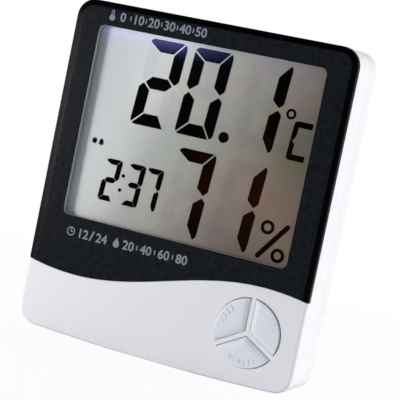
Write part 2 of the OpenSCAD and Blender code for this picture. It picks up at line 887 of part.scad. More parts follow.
// White back: tray with lip, screw columns, battery bay, stand recess, vents and hanging slot
module rear_cover() {
  skin = case_d - root;
  color("#ececef") difference() {
    union() {
      difference() {
        rounded_body(split_d, case_d, edge_r, true);
        slab(split_d - over, inner_back) outline(wall);
      }
      lip();
      for (p = case_corners) bar(p[0], p[1], column_r, split_d, skin);
      slab(bay_floor - bay_wall, skin)
        area(bay_x - bay_out, bay_x + bay_out, bay_z - bay_wall, bay_top + bay_wall);
      slab(recess_d - recess_wall, skin) area(
        -recess_w / 2 - recess_wall, recess_w / 2 + recess_wall,
        stand_z - slide - recess_wall, recess_top + recess_wall
      );
      pin_bosses(0, recess_w / 2 + pin_l + root, stand_axis_d, hinge_z, pin_boss);
      pin_bosses(bay_x, door_w / 2 + door_pin_l + web, door_d, door_axis, door_boss);
      slab(inner_back - pocket_t - recess_wall, skin) area(
        -pocket_in - recess_wall, pocket_in + recess_wall,
        pocket_z0 - recess_wall, pocket_z1 + recess_wall
      );
      for (p = rest_points) bar(p[0], p[1], rest_r, board_back + gap, skin);
    }
    for (p = case_corners) bar(p[0], p[1], pilot_r + screw_room, split_d - over, case_d);
    for (p = case_corners) bar(p[0], p[1], head_hole_r, column_seat, case_d + over);
    bay_cuts();
    slab(recess_d, case_d + over) area(-recess_w / 2, recess_w / 2, stand_z - slide, recess_top);
    cross_bar(-recess_w / 2 - pin_l, recess_w / 2 + pin_l, stand_axis_d, hinge_z, pin_r + fit);
    slab(inner_back - pocket_t, inner_back + gap) area(-pocket_in, pocket_in, pocket_z0, pocket_z1);
    bar(0, hang_z, hang_r, inner_back - over, case_d + over);
    bar(0, hang_z + hang_rise, hang_slot, inner_back - over, case_d + over);
    slab(inner_back - over, case_d + over) area(-hang_slot, hang_slot, hang_z, hang_z + hang_rise);
    for (z = [unit_z, reset_z]) bar(rear_x, z, rear_r + slide, inner_back - over, case_d + over);
    for (i = [0:vent_count - 1]) let (x = vent_x + vent_step * i)
      slab(inner_back - over, case_d + over) round_area(x, vent_z, vent_w, vent_h, 0.48 * vent_w);
    for (i = [0:4]) bar(
      buzzer_x + sound_ring * cos(72 * i), board_split + buzzer_z + sound_ring * sin(72 * i),
      sound_r, inner_back - over, case_d + over
    );
  }
}
// Lip that enters the front case, cut away at the screw bosses
module lip() {
  difference() {
    slab(split_d - column_floor, split_d + over) difference() {
      outline(wall + gap);
      outline(wall + gap + web);
    }
    for (p = case_corners) let (side_x = sign(p[0]) * half_w) {
      bar(p[0], p[1], boss_r + boss_room, split_d - 2 * over, split_d + gap);
      slab(split_d - 2 * over, split_d + gap)
        area(min(p[0], side_x), max(p[0], side_x), p[1] - web - root, p[1] + web + root);
    }
  }
}
// Two bosses on one axis along X, kept inside the back
module pin_bosses(x, reach, d, z, r) {
  intersection() {
    cross_bar(x - reach, x + reach, d, z, r);
    slab(inner_back - 2 * r, case_d - gap) area(x - reach, x + reach, z - 2 * r, z + 2 * r);
  }
}
// Everything cut for the cell, its contacts and its door
module bay_cuts() {
  slab(bay_floor, case_d + over) area(bay_x - bay_in, bay_x + bay_in, bay_z, bay_top);
  tail_half = tail_w / 2 + gap;
  for (z = [bay_z, bay_top - 2 * gap - plate_t])
    slab(tail_d - tail_half, tail_d + tail_half) area(bay_x, tail_x, z, z + plate_t + 2 * gap);
  slab(case_d - door_t - gap, case_d + over) area(
    bay_x - door_w / 2 - door_gap, bay_x + door_w / 2 + door_gap, door_low - door_gap, bay_top + door_lap
  );
  slab(door_d - door_knuckle - knuckle_gap, case_d + over) area(
    bay_x - door_w / 2 - door_gap, bay_x + door_w / 2 + door_gap,
    door_axis - door_knuckle - knuckle_gap, door_axis + door_sink + knuckle_gap
  );
  cross_bar(
    bay_x - door_w / 2 - door_pin_l - door_gap, bay_x + door_w / 2 + door_pin_l + door_gap,
    door_d, door_axis, door_pin_r + fit
  );
}

// Stand: plate with a finger notch, grip grooves, a hollow behind and two hinge pins
module stand() {
  pin_x = recess_w / 2 + pin_l - pin_short;
  color("#e9e9ec") union() {
    difference() {
      slab(stand_back - stand_t, stand_back)
        round_area(0, (hinge_z + heel + stand_z) / 2, stand_w, hinge_z + heel - stand_z, stand_r);
      bar(0, stand_z - notch_down, notch_r, stand_back - stand_t - over, stand_back + over);
      for (i = [0:3]) slab(stand_back - grip_t, stand_back + over)
        round_area(0, stand_z + grip_z + grip_step * i, grip_w, grip_h, 0.45 * grip_h);
      slab(stand_back - stand_t - over, stand_back - stand_t + hollow_t) area(
        -stand_w / 2 + hollow_side, stand_w / 2 - hollow_side,
        stand_z + hollow_z, hinge_z - hollow_side
      );
    }
    cross_bar(-pin_x, pin_x, stand_axis_d, hinge_z, pin_r);
  }
}

// Battery door: flat plate that tilts out on two pins at its top
module battery_door() {
  pin_x = door_w / 2 + door_pin_l;
  color("#ececef") union() {
    difference() {
      slab(case_d - door_t, case_d) area(bay_x - door_w / 2, bay_x + door_w / 2, door_low, door_axis);
      for (i = [0:2]) slab(case_d - groove_t, case_d + over)
        round_area(bay_x, door_low + (6 + 2.4 * i) * groove_w, 8 * groove_w, groove_w, 0.45 * groove_w);
    }
    cross_bar(bay_x - door_w / 2, bay_x + door_w / 2, door_d, door_axis, door_knuckle);
    cross_bar(bay_x - pin_x, bay_x + pin_x, door_d, door_axis, door_pin_r);
  }
}

// AAA cell standing on its spring, nub up
module cell_can() {
  shoulder = cell_l - nub_h;
  color("#c8cacc") translate([bay_x, face_y + cell_d, cell_z]) rotate_extrude() polygon([
    [0, 0], [can_r - can_edge, 0], [can_r, can_edge], [can_r, shoulder - can_edge],
    [can_r - can_edge, shoulder], [nub_r, shoulder], [nub_r, cell_l], [0, cell_l]
  ]);
}
module cell_sleeve() {
  color("#a6adb5") translate([bay_x, face_y + cell_d, cell_z + sleeve_in]) difference() {
    cylinder(r = cell_r, h = cell_l - nub_h - 2 * sleeve_in);
    translate([0, 0, -over]) cylinder(r = cell_r - sleeve_t, h = cell_l + over);
  }
}

// Contact plates, each with a tail that passes through the side of the bay
module contact(z) {
  color("#cfcfc8") translate([0, 0, z]) union() {
    translate([bay_x - bay_in + plate_in, face_y + plate_d0, 0])
      cube([2 * (bay_in - plate_in), plate_d1 - plate_d0, plate_t]);
    translate([bay_x, face_y + tail_d - tail_w / 2, 0]) cube([tail_x - bay_x, tail_w, plate_t]);
  }
}

// Closed tube of round section along a path of points
function unit(v) = v / norm(v);
function tangent(path, i) = unit(path[min(i + 1, len(path) - 1)] - path[max(i - 1, 0)]);
function sideways(path, start, i = 0, found = []) = i == len(path) ? found :
  let (t = tangent(path, i), last = i == 0 ? start : found[i - 1], n = unit(last - (last * t) * t))
  sideways(path, start, i + 1, concat(found, [n]));
module tube(path, r, sides, start) {
  side = sideways(path, start);
  rings = [for (i = [0:len(path) - 1]) let (t = tangent(path, i), n = side[i], b = cross(t, n))
    for (k = [0:sides - 1]) path[i] + r * (n * cos(360 * k / sides) + b * sin(360 * k / sides))];
  last = (len(path) - 1) * sides;
  polyhedron(rings, concat(
    [[for (k = [sides - 1:-1:0]) k]],
    [for (i = [0:len(path) - 2]) for (k = [0:sides - 1]) for (half = [0, 1])
      let (a = i * sides + k, b = i * sides + (k + 1) % sides)
      half == 0 ? [a, b, b + sides] : [a, b + sides, a + sides]],
    [[for (k = [0:sides - 1]) last + k]]
  ), convexity = 8);
}

// Conical coil spring between the negative contact and the cell
spring_r0 = can_r - 3 * spring_wire;
spring_r1 = 2.2;
spring_steps = 8;
spring_low = spring_z + spring_wire + plunger_gap;
spring_rise = spring_l - 2 * spring_wire - 2 * plunger_gap;
spring_n = spring_turns * spring_steps;
spring_path = [for (i = [0:spring_n])
  let (a = 360 * i / spring_steps, u = i / spring_n, r = spring_r0 + (spring_r1 - spring_r0) * u)
  [bay_x + r * cos(a), face_y + cell_d + r * sin(a), spring_low + spring_rise * u]];
module negative_spring() {
  far = [for (i = [0:spring_n]) for (j = [i + 4:1:spring_n]) norm(spring_path[i] - spring_path[j])];
  echo(least_gap_of_the_spring_to_itself = min(far) - 2 * spring_wire);
  color("#b9bbb8") tube(spring_path, spring_wire, 6, [0, 0, 1]);
}

// Smooth path through points given as x, d and z
function between(p0, p1, p2, p3, u) = 0.5 * (
  2 * p1 + (p2 - p0) * u + (2 * p0 - 5 * p1 + 4 * p2 - p3) * u * u + (3 * p1 - p0 - 3 * p2 + p3) * u * u * u
);
function bend(points, n) = let (last = len(points) - 1) concat(
  [for (i = [0:last - 1]) for (k = [0:n - 1])
    between(points[max(i - 1, 0)], points[i], points[i + 1], points[min(i + 2, last)], k / n)],
  [points[last]]
);
module lead(points) {
  tube(bend([for (p = points) [p[0], face_y + p[1], p[2]]], 4), lead_r, 8, [0, 0, 1]);
}
// Lead from the tail at height z to a pad beside the bay, by way of the points of via
module contact_lead(z, pad_x, pad_z, via) {
  lead(concat(
    [[tail_x + seam, tail_d, z], [tail_x + lead_out / 2, tail_d, z]],
    via,
    [[pad_x, tail_d, pad_z], [pad_x, (board_back + tail_d) / 2, pad_z], [pad_x, board_back + seam, pad_z]]
  ));
}
red_z = bay_top - gap - plate_t / 2;
red_pad_z = board_split + pad_in;
black_z = bay_z + gap + plate_t / 2;
black_pad_z = board_low + pad_in;
module red_lead() {
  color("#b3232a") contact_lead(red_z, board_left + pad_in, red_pad_z, [
    [tail_x + lead_out, tail_d, red_z + lead_out / 2],
    [tail_x + lead_out + 0.2 * pad_in, tail_d, (red_z + red_pad_z) / 2]
  ]);
}
module black_lead() {
  color("#1a1a1c") contact_lead(black_z, board_left + pad_in, black_pad_z, [
    [tail_x + lead_out, tail_d, black_z + lead_out],
    [tail_x + lead_out, tail_d, black_z + 0.35 * (black_pad_z - black_z)],
    [tail_x + lead_out, tail_d, black_z + 0.7 * (black_pad_z - black_z)],
    [tail_x + lead_out + 0.2 * pad_in, tail_d, black_pad_z - pad_in]
  ]);
}

front_case();
bezel();
window_lens();
lens_tape();
front_polarizer();
front_glass();
segments();
rear_glass();
reflector();
display_frame();
zebra_strip();
main_board();
board_screws();
chip_drop();
crystal();
capacitors();
resistors();
humidity_sensor();
sensor_housing();
thermistor();
buzzer();
front_switches();
rear_switches();
sector_button(sectors[0]);  // mode_button
sector_button(sectors[1]);  // adjust_button
sector_button(sectors[2]);  // memory_button
rear_button(unit_z);  // unit_button
rear_button(reset_z);  // reset_button
front_plunger(sectors[0]);  // mode_plunger
front_plunger(sectors[1]);  // adjust_plunger
front_plunger(sectors[2]);  // memory_plunger
rear_plunger(unit_z);  // unit_plunger
rear_plunger(reset_z);  // reset_plunger
rear_cover();
stand();
battery_door();
cell_can();
cell_sleeve();
contact(bay_top - gap - plate_t);  // positive_contact
contact(bay_z + gap);  // negative_contact
negative_spring();
red_lead();
black_lead();
case_screws();
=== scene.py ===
import math

import bmesh
import bpy
from mathutils import Matrix, Vector
from mathutils.geometry import tessellate_polygon


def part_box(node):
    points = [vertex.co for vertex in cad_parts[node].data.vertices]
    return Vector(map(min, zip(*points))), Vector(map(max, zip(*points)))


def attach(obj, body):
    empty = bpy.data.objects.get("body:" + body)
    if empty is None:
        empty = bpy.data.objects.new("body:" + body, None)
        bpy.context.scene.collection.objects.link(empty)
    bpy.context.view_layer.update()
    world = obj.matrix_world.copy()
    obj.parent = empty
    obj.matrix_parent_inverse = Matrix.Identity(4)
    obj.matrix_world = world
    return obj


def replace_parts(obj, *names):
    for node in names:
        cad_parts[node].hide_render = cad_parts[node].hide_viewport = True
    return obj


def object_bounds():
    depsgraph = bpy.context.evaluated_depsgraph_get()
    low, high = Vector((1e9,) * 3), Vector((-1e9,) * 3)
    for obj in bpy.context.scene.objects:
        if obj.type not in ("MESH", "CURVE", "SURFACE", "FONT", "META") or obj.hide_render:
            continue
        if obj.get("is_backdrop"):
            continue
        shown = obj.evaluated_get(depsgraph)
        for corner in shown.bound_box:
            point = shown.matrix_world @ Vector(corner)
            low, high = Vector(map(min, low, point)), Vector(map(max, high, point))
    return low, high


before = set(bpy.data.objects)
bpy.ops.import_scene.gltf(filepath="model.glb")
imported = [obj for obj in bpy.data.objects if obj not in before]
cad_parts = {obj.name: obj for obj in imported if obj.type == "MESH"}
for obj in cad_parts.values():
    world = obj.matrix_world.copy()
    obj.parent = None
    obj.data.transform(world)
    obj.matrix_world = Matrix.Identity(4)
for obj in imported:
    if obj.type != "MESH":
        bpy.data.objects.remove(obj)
cad_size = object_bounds()

# Camera: it stands to the right of the clock and a little above its middle, and is held with
# a tilt, so that the clock leans to the left in the picture. The lens is a long one.
mm = 0.001
picture_px = 400
camera_focal_px = 1512.5
camera_place = Vector((190.66, -448.21, 92.83)) * mm
camera_turn = math.radians(22.72)
camera_down = math.radians(4.65)
camera_roll = math.radians(11.63)


def show(name, data):
    """Puts a new object into the scene."""
    shown = bpy.data.objects.new(name, data)
    bpy.context.scene.collection.objects.link(shown)
    return shown


camera_data = bpy.data.cameras.new("camera")
camera_data.sensor_width = 36
camera_data.lens = camera_focal_px / picture_px * camera_data.sensor_width
camera_data.clip_start = 0.01
camera = show("camera", camera_data)
camera.matrix_world = (
    Matrix.Translation(camera_place)
    @ Matrix.Rotation(camera_turn, 4, "Z")
    @ Matrix.Rotation(math.pi / 2 - camera_down, 4, "X")
    @ Matrix.Rotation(camera_roll, 4, "Z")
)
bpy.context.scene.camera = camera
bpy.context.scene.view_settings.view_transform = "Standard"


# Light: a small soft lamp on the left, whose shade falls on the left edge of the display, a weak
# fill from the front, a broad lamp on the right for the side of the case and one behind.
clock_middle = Vector((0, 0, 55)) * mm


def lamp(name, turn, rise, distance, size, power, colour):
    """A soft rectangular lamp that looks at the middle of the clock."""
    data = bpy.data.lights.new(name, "AREA")
    data.shape = "RECTANGLE"
    data.size, data.size_y = size
    data.energy = power
    data.color = colour
    turn = math.radians(turn)
    away = distance * Vector((math.sin(turn), -math.cos(turn), rise))
    aimed = away.to_track_quat("Z", "Y").to_matrix().to_4x4()
    show(name, data).matrix_world = Matrix.Translation(clock_middle + away) @ aimed


lamp("left_lamp", turn=-45, rise=0.0, distance=0.6, size=(0.22, 0.12), power=2.66, colour=(1.0, 0.985, 0.98))
lamp("front_lamp", turn=34, rise=0.1, distance=0.8, size=(0.4, 0.3), power=0.72, colour=(0.93, 0.97, 1.0))
lamp("right_lamp", turn=104, rise=0.2, distance=0.7, size=(0.3, 0.4), power=4.0, colour=(1.0, 0.95, 0.92))
lamp("rear_lamp", turn=205, rise=0.6, distance=0.9, size=(0.5, 0.5), power=3.0, colour=(1.0, 1.0, 1.0))


# Studio: a white floor that keeps a soft shadow near the clock, and a room that looks white to
# the camera but gives only a weak bluish fill. A blue card stands above and to the left of the
# camera, where the window mirrors it.
def put(made, kind, inputs, **settings):
    """Adds a node to a material, a room or a tree.

    Each input is a number, a colour, a vector or the output of another node."""
    tree = getattr(made, "node_tree", made)
    added = tree.nodes.new(kind)
    for name, value in settings.items():
        setattr(added, name, value)
    for name, value in inputs.items():
        socket = added.inputs[name]
        if isinstance(value, bpy.types.NodeSocket):
            tree.links.new(value, socket)
        elif socket.type == "RGBA":
            socket.default_value = (*value, 1)
        else:
            socket.default_value = value
    return added


def reckon(made, operation, *values):
    """A sum or a comparison of numbers or of other nodes' outputs."""
    return put(made, "ShaderNodeMath", dict(enumerate(values)), operation=operation).outputs[0]


def coordinate(made, place, axis):
    return put(made, "ShaderNodeSeparateXYZ", {"Vector": place}).outputs[axis]


def ranged(made, value, start, end, low=0.0, high=1.0, smooth=False):
    """Turns the range from start to end into the one from low to high."""
    return put(made, "ShaderNodeMapRange", {
        "Value": value, "From Min": start, "From Max": end, "To Min": low, "To Max": high,
    }, interpolation_type="SMOOTHSTEP" if smooth else "LINEAR").outputs["Result"]


def mixed(made, factor, first, second):
    """A number between two others."""
    return put(made, "ShaderNodeMix", {0: factor, 2: first, 3: second}).outputs[0]


def blended(made, factor, first, second, blend_type="MIX"):
    """Two colours laid over each other."""
    return put(made, "ShaderNodeMix", {
        0: factor, 6: first, 7: second,
    }, data_type="RGBA", blend_type=blend_type).outputs[2]


def blank(name):
    """An empty node material, with the coordinates that its patterns read."""
    made = bpy.data.materials.new(name)
    made.use_nodes = True
    made.node_tree.nodes.clear()
    return made, put(made, "ShaderNodeTexCoord", {}).outputs["Object"]


def end_in(made, first, second, share):
    """Ends a material in two shaders, of which the second has that share."""
    mix = put(made, "ShaderNodeMixShader", {0: share, 1: first.outputs[0], 2: second.outputs[0]})
    put(made, "ShaderNodeOutputMaterial", {"Surface": mix.outputs[0]})


def studio_room(front, rear, soft, mirrored):
    """A room that grows brighter from its front to its rear.

    Front and rear say how far a ray points rearward. Soft and mirrored hold the light at both."""
    world = bpy.data.worlds.new("room")
    world.use_nodes = True
    world.node_tree.nodes.clear()
    bpy.context.scene.world = world
    rearward = coordinate(world, put(world, "ShaderNodeTexCoord", {}).outputs["Generated"], "Y")
    ray = put(world, "ShaderNodeLightPath", {}).outputs
    fill = ranged(world, rearward, front, rear, *soft, smooth=True)
    gloss = ranged(world, rearward, front, rear, *mirrored)
    light = mixed(world, ray["Is Glossy Ray"], fill, gloss)
    ground = put(world, "ShaderNodeBackground", {
        "Color": blended(world, ray["Is Camera Ray"], (0.86, 0.93, 1.0), (1, 1, 1)),
        "Strength": mixed(world, ray["Is Camera Ray"], light, 1.0),
    })
    put(world, "ShaderNodeOutputWorld", {"Surface": ground.outputs[0]})


def studio_floor(radius, whiteness):
    """A round floor that is white to the camera at its edge and shows its shadow near the clock."""
    shape = bmesh.new()
    bmesh.ops.create_circle(shape, cap_ends=True, segments=96, radius=radius)
    mesh = bpy.data.meshes.new("floor")
    shape.to_mesh(mesh)
    shape.free()
    floor = show("floor", mesh)
    floor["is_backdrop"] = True
    paper, place = blank("white_paper")
    mesh.materials.append(paper)
    away = put(paper, "ShaderNodeVectorMath", {0: place}, operation="LENGTH").outputs["Value"]
    fade = ranged(paper, away, 0.45 * radius, 0.95 * radius, whiteness, 1.0)
    seen = put(paper, "ShaderNodeLightPath", {}).outputs["Is Camera Ray"]
    matt = put(paper, "ShaderNodeBsdfDiffuse", {"Color": (0.85, 0.85, 0.85)})
    white = put(paper, "ShaderNodeEmission", {"Color": (1, 1, 1), "Strength": 1.0})
    end_in(paper, matt, white, share=reckon(paper, "MULTIPLY", fade, seen))


def blue_card(left, right, foot, top, depth, brightness):
    """A card that only the mirroring window sees. Its glow fades at its foot and on its right."""
    foot_fade, right_fade = 0.012, 0.06
    mesh = bpy.data.meshes.new("blue_card")
    corners = [(left, depth, foot), (right, depth, foot), (right, depth, top), (left, depth, top)]
    mesh.from_pydata(corners, [], [(0, 1, 2, 3)])
    card = show("blue_card", mesh)
    card.visible_camera = card.visible_diffuse = card.visible_shadow = card.visible_transmission = False
    card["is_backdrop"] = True
    paper, place = blank("blue_paper")
    mesh.materials.append(paper)
    height, sideways = coordinate(paper, place, "Z"), coordinate(paper, place, "X")
    up = ranged(paper, height, foot, foot + foot_fade, high=brightness, smooth=True)
    across = ranged(paper, sideways, right, right - right_fade, smooth=True)
    glow = reckon(paper, "MULTIPLY", up, across)
    blue = put(paper, "ShaderNodeEmission", {"Color": (0.3, 0.31, 1.0), "Strength": glow})
    put(paper, "ShaderNodeOutputMaterial", {"Surface": blue.outputs[0]})


studio_room(front=-0.2, rear=0.5, soft=(0.2, 0.62), mirrored=(0.012, 0.55))
studio_floor(radius=0.32, whiteness=0.94)
blue_card(left=-0.27, right=-0.165, foot=0.1, top=0.19, depth=-0.45, brightness=6.8)


# Front case: the white shell that carries all the rest. It is moulded in white ABS with a fine
# matt grain, and its edges are softly broken where the mould's parts meet.
weld = 0.002 * mm
flat_turn = math.radians(0.5)
crease = math.radians(35)


def new_finish(name, colour, roughness, specular=0.5, metallic=0.0):
    """A node material of one plain shader, with the coordinates that its patterns read."""
    made = bpy.data.materials.new(name)
    made.use_nodes = True
    shader = made.node_tree.nodes["Principled BSDF"]
    shader.inputs["Base Color"].default_value = (*colour, 1)
    shader.inputs["Roughness"].default_value = roughness
    shader.inputs["Specular IOR Level"].default_value = specular
    shader.inputs["Metallic"].default_value = metallic
    place = put(made, "ShaderNodeTexCoord", {}).outputs["Object"]
    return made, shader, place


def join(made, output, shader, name):
    made.node_tree.links.new(output, shader.inputs[name])


def speckle(made, place, size, detail=2.0):
    """Noise whose spots are about as large as size, in mm."""
    return put(made, "ShaderNodeTexNoise", {
        "Vector": place, "Scale": 1 / (size * mm), "Detail": detail, "Roughness": 0.55,
    }).outputs["Fac"]


def tinted(made, shader, factor, first, second):
    """Lets the colour wander between two tones."""
    join(made, blended(made, factor, first, second), shader, "Base Color")


def worn(made, shader, factor, low, high):
    """Lets the roughness wander between two values, over the middle part of a noise."""
    join(made, ranged(made, factor, 0.3, 0.7, low, high), shader, "Roughness")


def embossed(made, shader, height, depth, strength=1.0):
    """A relief of that depth in mm."""
    bump = put(made, "ShaderNodeBump", {"Height": height, "Distance": depth * mm, "Strength": strength})
    join(made, bump.outputs["Normal"], shader, "Normal")


def white_plastic(name, bright, dim):
    made, shader, place = new_finish(name, bright, 0.45, specular=0.35)
    tinted(made, shader, speckle(made, place, 14), dim, bright)
    worn(made, shader, speckle(made, place, 1.5), 0.42, 0.52)
    embossed(made, shader, speckle(made, place, 0.28, detail=3.0), 0.012, strength=0.5)
    return made


def dress(mesh, *finishes):
    """Gives a mesh those finishes in place of the ones it has."""
    mesh.materials.clear()
    for finish in finishes:
        mesh.materials.append(finish)


def shade(mesh, sharp):
    """Smooth shading with creases where faces meet at more than that angle."""
    mesh.polygons.foreach_set("use_smooth", [True] * len(mesh.polygons))
    mesh.set_sharp_from_angle(angle=sharp)


def welded(mesh):
    """A working copy of a solid's loose triangles, with its corners merged and its flats joined."""
    shape = bmesh.new()
    shape.from_mesh(mesh)
    bmesh.ops.remove_doubles(shape, verts=shape.verts, dist=weld)
    bmesh.ops.dissolve_limit(shape, angle_limit=flat_turn, verts=shape.verts, edges=shape.edges)
    return shape


def mesh_of(draft):
    """The plain mesh that an object comes to. The object itself is used up."""
    mesh = bpy.data.meshes.new_from_object(draft.evaluated_get(bpy.context.evaluated_depsgraph_get()))
    bpy.data.objects.remove(draft)
    return mesh


def link_piece(name, mesh, body):
    """Shows a finished mesh as a piece that rides on a body of the frame."""
    piece = show(name, mesh)
    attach(piece, body)
    return piece


def moulded(name, node, body, finishes, broken, choose=None, marks=None, parting=None):
    """A moulding made from a solid of the frame, with its edges broken by that many mm.

    Choose gives the number of a face's finish, marks is a solid that is sunk into it, and parting
    is a depth at which its faces are parted."""
    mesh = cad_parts[node].data.copy()
    mesh.name = name
    shape = welded(mesh)
    if parting:
        everything = shape.verts[:] + shape.edges[:] + shape.faces[:]
        plane = {"plane_co": (0, parting, 0), "plane_no": (0, 1, 0)}
        bmesh.ops.bisect_plane(shape, geom=everything, dist=weld / 2, **plane)
    shape.to_mesh(mesh)
    shape.free()
    if "custom_normal" in mesh.attributes:
        mesh.attributes.remove(mesh.attributes["custom_normal"])
    dress(mesh, *finishes)
    shade(mesh, crease)
    draft = show(name + "_draft", mesh)
    edges = draft.modifiers.new("broken_edges", "BEVEL")
    edges.width = broken * mm
    edges.segments = 2
    edges.limit_method = "ANGLE"
    edges.angle_limit = crease
    edges.use_clamp_overlap = False
    edges.harden_normals = False
    if marks:
        cutter = show(marks.name, marks)
        sunk = draft.modifiers.new("sunk_marks", "BOOLEAN")
        sunk.object = cutter
        sunk.solver = "EXACT"
    draft.modifiers.new("flat_faces", "WEIGHTED_NORMAL").keep_sharp = True
    made = mesh_of(draft)
    if marks:
        bpy.data.objects.remove(cutter)
    for face in made.polygons:
        face.material_index = choose(face) if choose else 0
    piece = link_piece(name, made, body)
    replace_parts(piece, node)


case_white = white_plastic("case_white", (0.775, 0.775, 0.81), (0.75, 0.755, 0.795))
moulded("front_case_moulding", "front_case", "case", [case_white], broken=0.12)


# Bezel: a black plastic cap that snaps over the front with four pegs. Its face and the inner part
# of its sloping rim have a satin grain, the outer part is polished and its side is dull. The inner
# wall of its window is painted pale grey, a painted highlight of the light that catches that edge.
face_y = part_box("bezel")[0].y
window_half = 39.75 * mm
window_low = 39.5 * mm
window_top = 102.3 * mm
window_margin = 0.2 * mm
lap_depth = 1.2 * mm
polish_depth = 0.21 * mm
facing_front, facing_slope = -0.9, -0.96
satin, polished, painted_highlight_edge, side = range(4)


def satin_black():
    made, shader, place = new_finish("satin_black", (0.008, 0.0095, 0.012), 0.25, specular=0.016)
    blotches = speckle(made, place, 1.6, detail=4.0)
    tinted(made, shader, blotches, (0.0003, 0.0014, 0.0034), (0.0182, 0.0206, 0.0241))
    worn(made, shader, speckle(made, place, 0.7), 0.19, 0.31)
    embossed(made, shader, speckle(made, place, 0.8, detail=4.0), 0.05, strength=0.8)
    return made


def polished_black():
    made, shader, place = new_finish("polished_black", (0.0006, 0.0006, 0.0007), 0.3, specular=0.045)
    worn(made, shader, speckle(made, place, 4), 0.24, 0.32)
    embossed(made, shader, speckle(made, place, 3), 0.01, strength=0.2)
    return made


# A painted highlight: this pale grey stands in for light that catches the window's inner wall.
def painted_window_highlight():
    made, shader, place = new_finish("painted_window_highlight", (0.5, 0.54, 0.58), 0.4)
    worn(made, shader, speckle(made, place, 0.6), 0.35, 0.5)
    return made


def edge_black():
    made, shader, place = new_finish("edge_black", (0.008, 0.0074, 0.0074), 0.35, specular=0.06)
    worn(made, shader, speckle(made, place, 1.5), 0.3, 0.42)
    return made


def bezel_finish(face):
    """The number of a face's finish, from where it lies and how far it turns from the front."""
    middle, facing = face.center, face.normal.y
    across = abs(middle.x) < window_half + window_margin
    upright = window_low - window_margin < middle.z < window_top + window_margin
    # The faces of the window's inner wall get the painted highlight.
    if across and upright and middle.y < face_y + lap_depth and facing > facing_front:
        return painted_highlight_edge
    if middle.y < face_y + polish_depth:
        return satin
    return polished if facing < facing_slope else side


moulded(
    "bezel_moulding", "bezel", "case",
    [satin_black(), polished_black(), painted_window_highlight(), edge_black()],
    broken=0.1, choose=bezel_finish, parting=face_y + polish_depth,
)


# Prints on the bezel: grey pad prints above and below the window. The upper one has a small
# thermometer and a scale of degrees, the lower one a clock, a drop and a scale of percent.
print_front, print_back = face_y - 0.02 * mm, face_y + 0.02 * mm
figure_tall = 2.9
figure_share = 0.7
figure_swell = 0.03 * figure_tall
tick_wide, tick_tall = 0.4, 0.5 * figure_tall
upper_foot, lower_foot = 104.4, 32.9


def gather(name, parts):
    """One mesh of several, which are used up."""
    shape = bmesh.new()
    for part in parts:
        shape.from_mesh(part)
        bpy.data.meshes.remove(part)
    whole = bpy.data.meshes.new(name)
    shape.to_mesh(whole)
    shape.free()
    return whole


def closed(outline):
    """Each point of an outline with the one that follows it."""
    return zip(outline, outline[1:] + outline[:1])


def prism(name, outlines, front, back):
    """A flat solid from outlines given as (x, z) in mm. The first is the edge, the others are holes."""
    points = [point for outline in outlines for point in outline]
    count = len(points)
    places = [(x * mm, depth, z * mm) for depth in (front, back) for x, z in points]
    caps = [tuple(range(count))]
    if len(outlines) > 1:
        caps = tessellate_polygon([[Vector((x, z, 0)) for x, z in outline] for outline in outlines])
    faces = [tuple(corners) for corners in caps]
    faces += [tuple(k + count for k in corners[::-1]) for corners in caps]
    first = 0
    for outline in outlines:
        ring = list(range(first, first + len(outline)))
        faces += [(a, b, b + count, a + count) for a, b in closed(ring)]
        first += len(outline)
    mesh = bpy.data.meshes.new(name)
    mesh.from_pydata(places, [], faces)
    shape = bmesh.new()
    shape.from_mesh(mesh)
    bmesh.ops.recalc_face_normals(shape, faces=shape.faces)
    shape.to_mesh(mesh)
    shape.free()
    return mesh


def printed(name, outlines):
    return prism(name, outlines, print_front, print_back)


def spot(centre, radius, angle):
    angle = math.radians(angle)
    return centre[0] + radius * math.cos(angle), centre[1] + radius * math.sin(angle)


def arc(centre, radius, start, end, count):
    return [spot(centre, radius, start + (end - start) * k / count) for k in range(count + 1)]


def disc(centre, radius):
    return arc(centre, radius, 0, 360, 24)[:-1]


def moved(outline, x, z):
    return [(px + x, pz + z) for px, pz in outline]


def rims(shape):
    """The outlines of a flat mesh, each with the mesh on its left."""
    following = {}
    for edge in shape.edges:
        if edge.is_boundary:
            corner = edge.link_loops[0]
            following[corner.vert] = corner.link_loop_next.vert
    while following:
        ring = [next(iter(following))]
        while ring[-1] in following:
            ring.append(following.pop(ring[-1]))
        yield [corner.co.xy for corner in ring[:-1]]


def widened(outline, distance):
    """An outline whose sides are moved to their right."""
    points = []
    for before, (here, after) in zip(outline[-1:] + outline[:-1], closed(outline)):
        first, second = (here - before).normalized(), (after - here).normalized()
        across = Vector((first.y + second.y, -first.x - second.x))
        points.append(here + across * distance / (1 + first.dot(second)))
    return points


def apart(outlines):
    """The figures of a row, each as its edge and the holes that lie between its sides."""
    turns = [sum(a[0] * b[1] - b[0] * a[1] for a, b in closed(outline)) for outline in outlines]
    holes = [outline for outline, turn in zip(outlines, turns) if turn < 0]
    for edge, turn in zip(outlines, turns):
        if turn > 0:
            left, right = min(x for x, z in edge), max(x for x, z in edge)
            yield [edge] + [hole for hole in holes if left < hole[0][0] < right]


def number(text, x, foot):
    """Plain bold figures, their middle at x and their foot at that height, in mm."""
    figures = bpy.data.curves.new(text, "FONT")
    figures.body = text
    figures.size = figure_tall / figure_share
    figures.resolution_u = 3
    figures.align_x = "CENTER"
    shape = bmesh.new()
    shape.from_mesh(mesh_of(show(text, figures)))
    bmesh.ops.remove_doubles(shape, verts=shape.verts, dist=0.01)
    outlines = [moved(widened(outline, figure_swell), x, foot) for outline in rims(shape)]
    shape.free()
    return gather(text, [printed(text, figure) for figure in apart(outlines)])


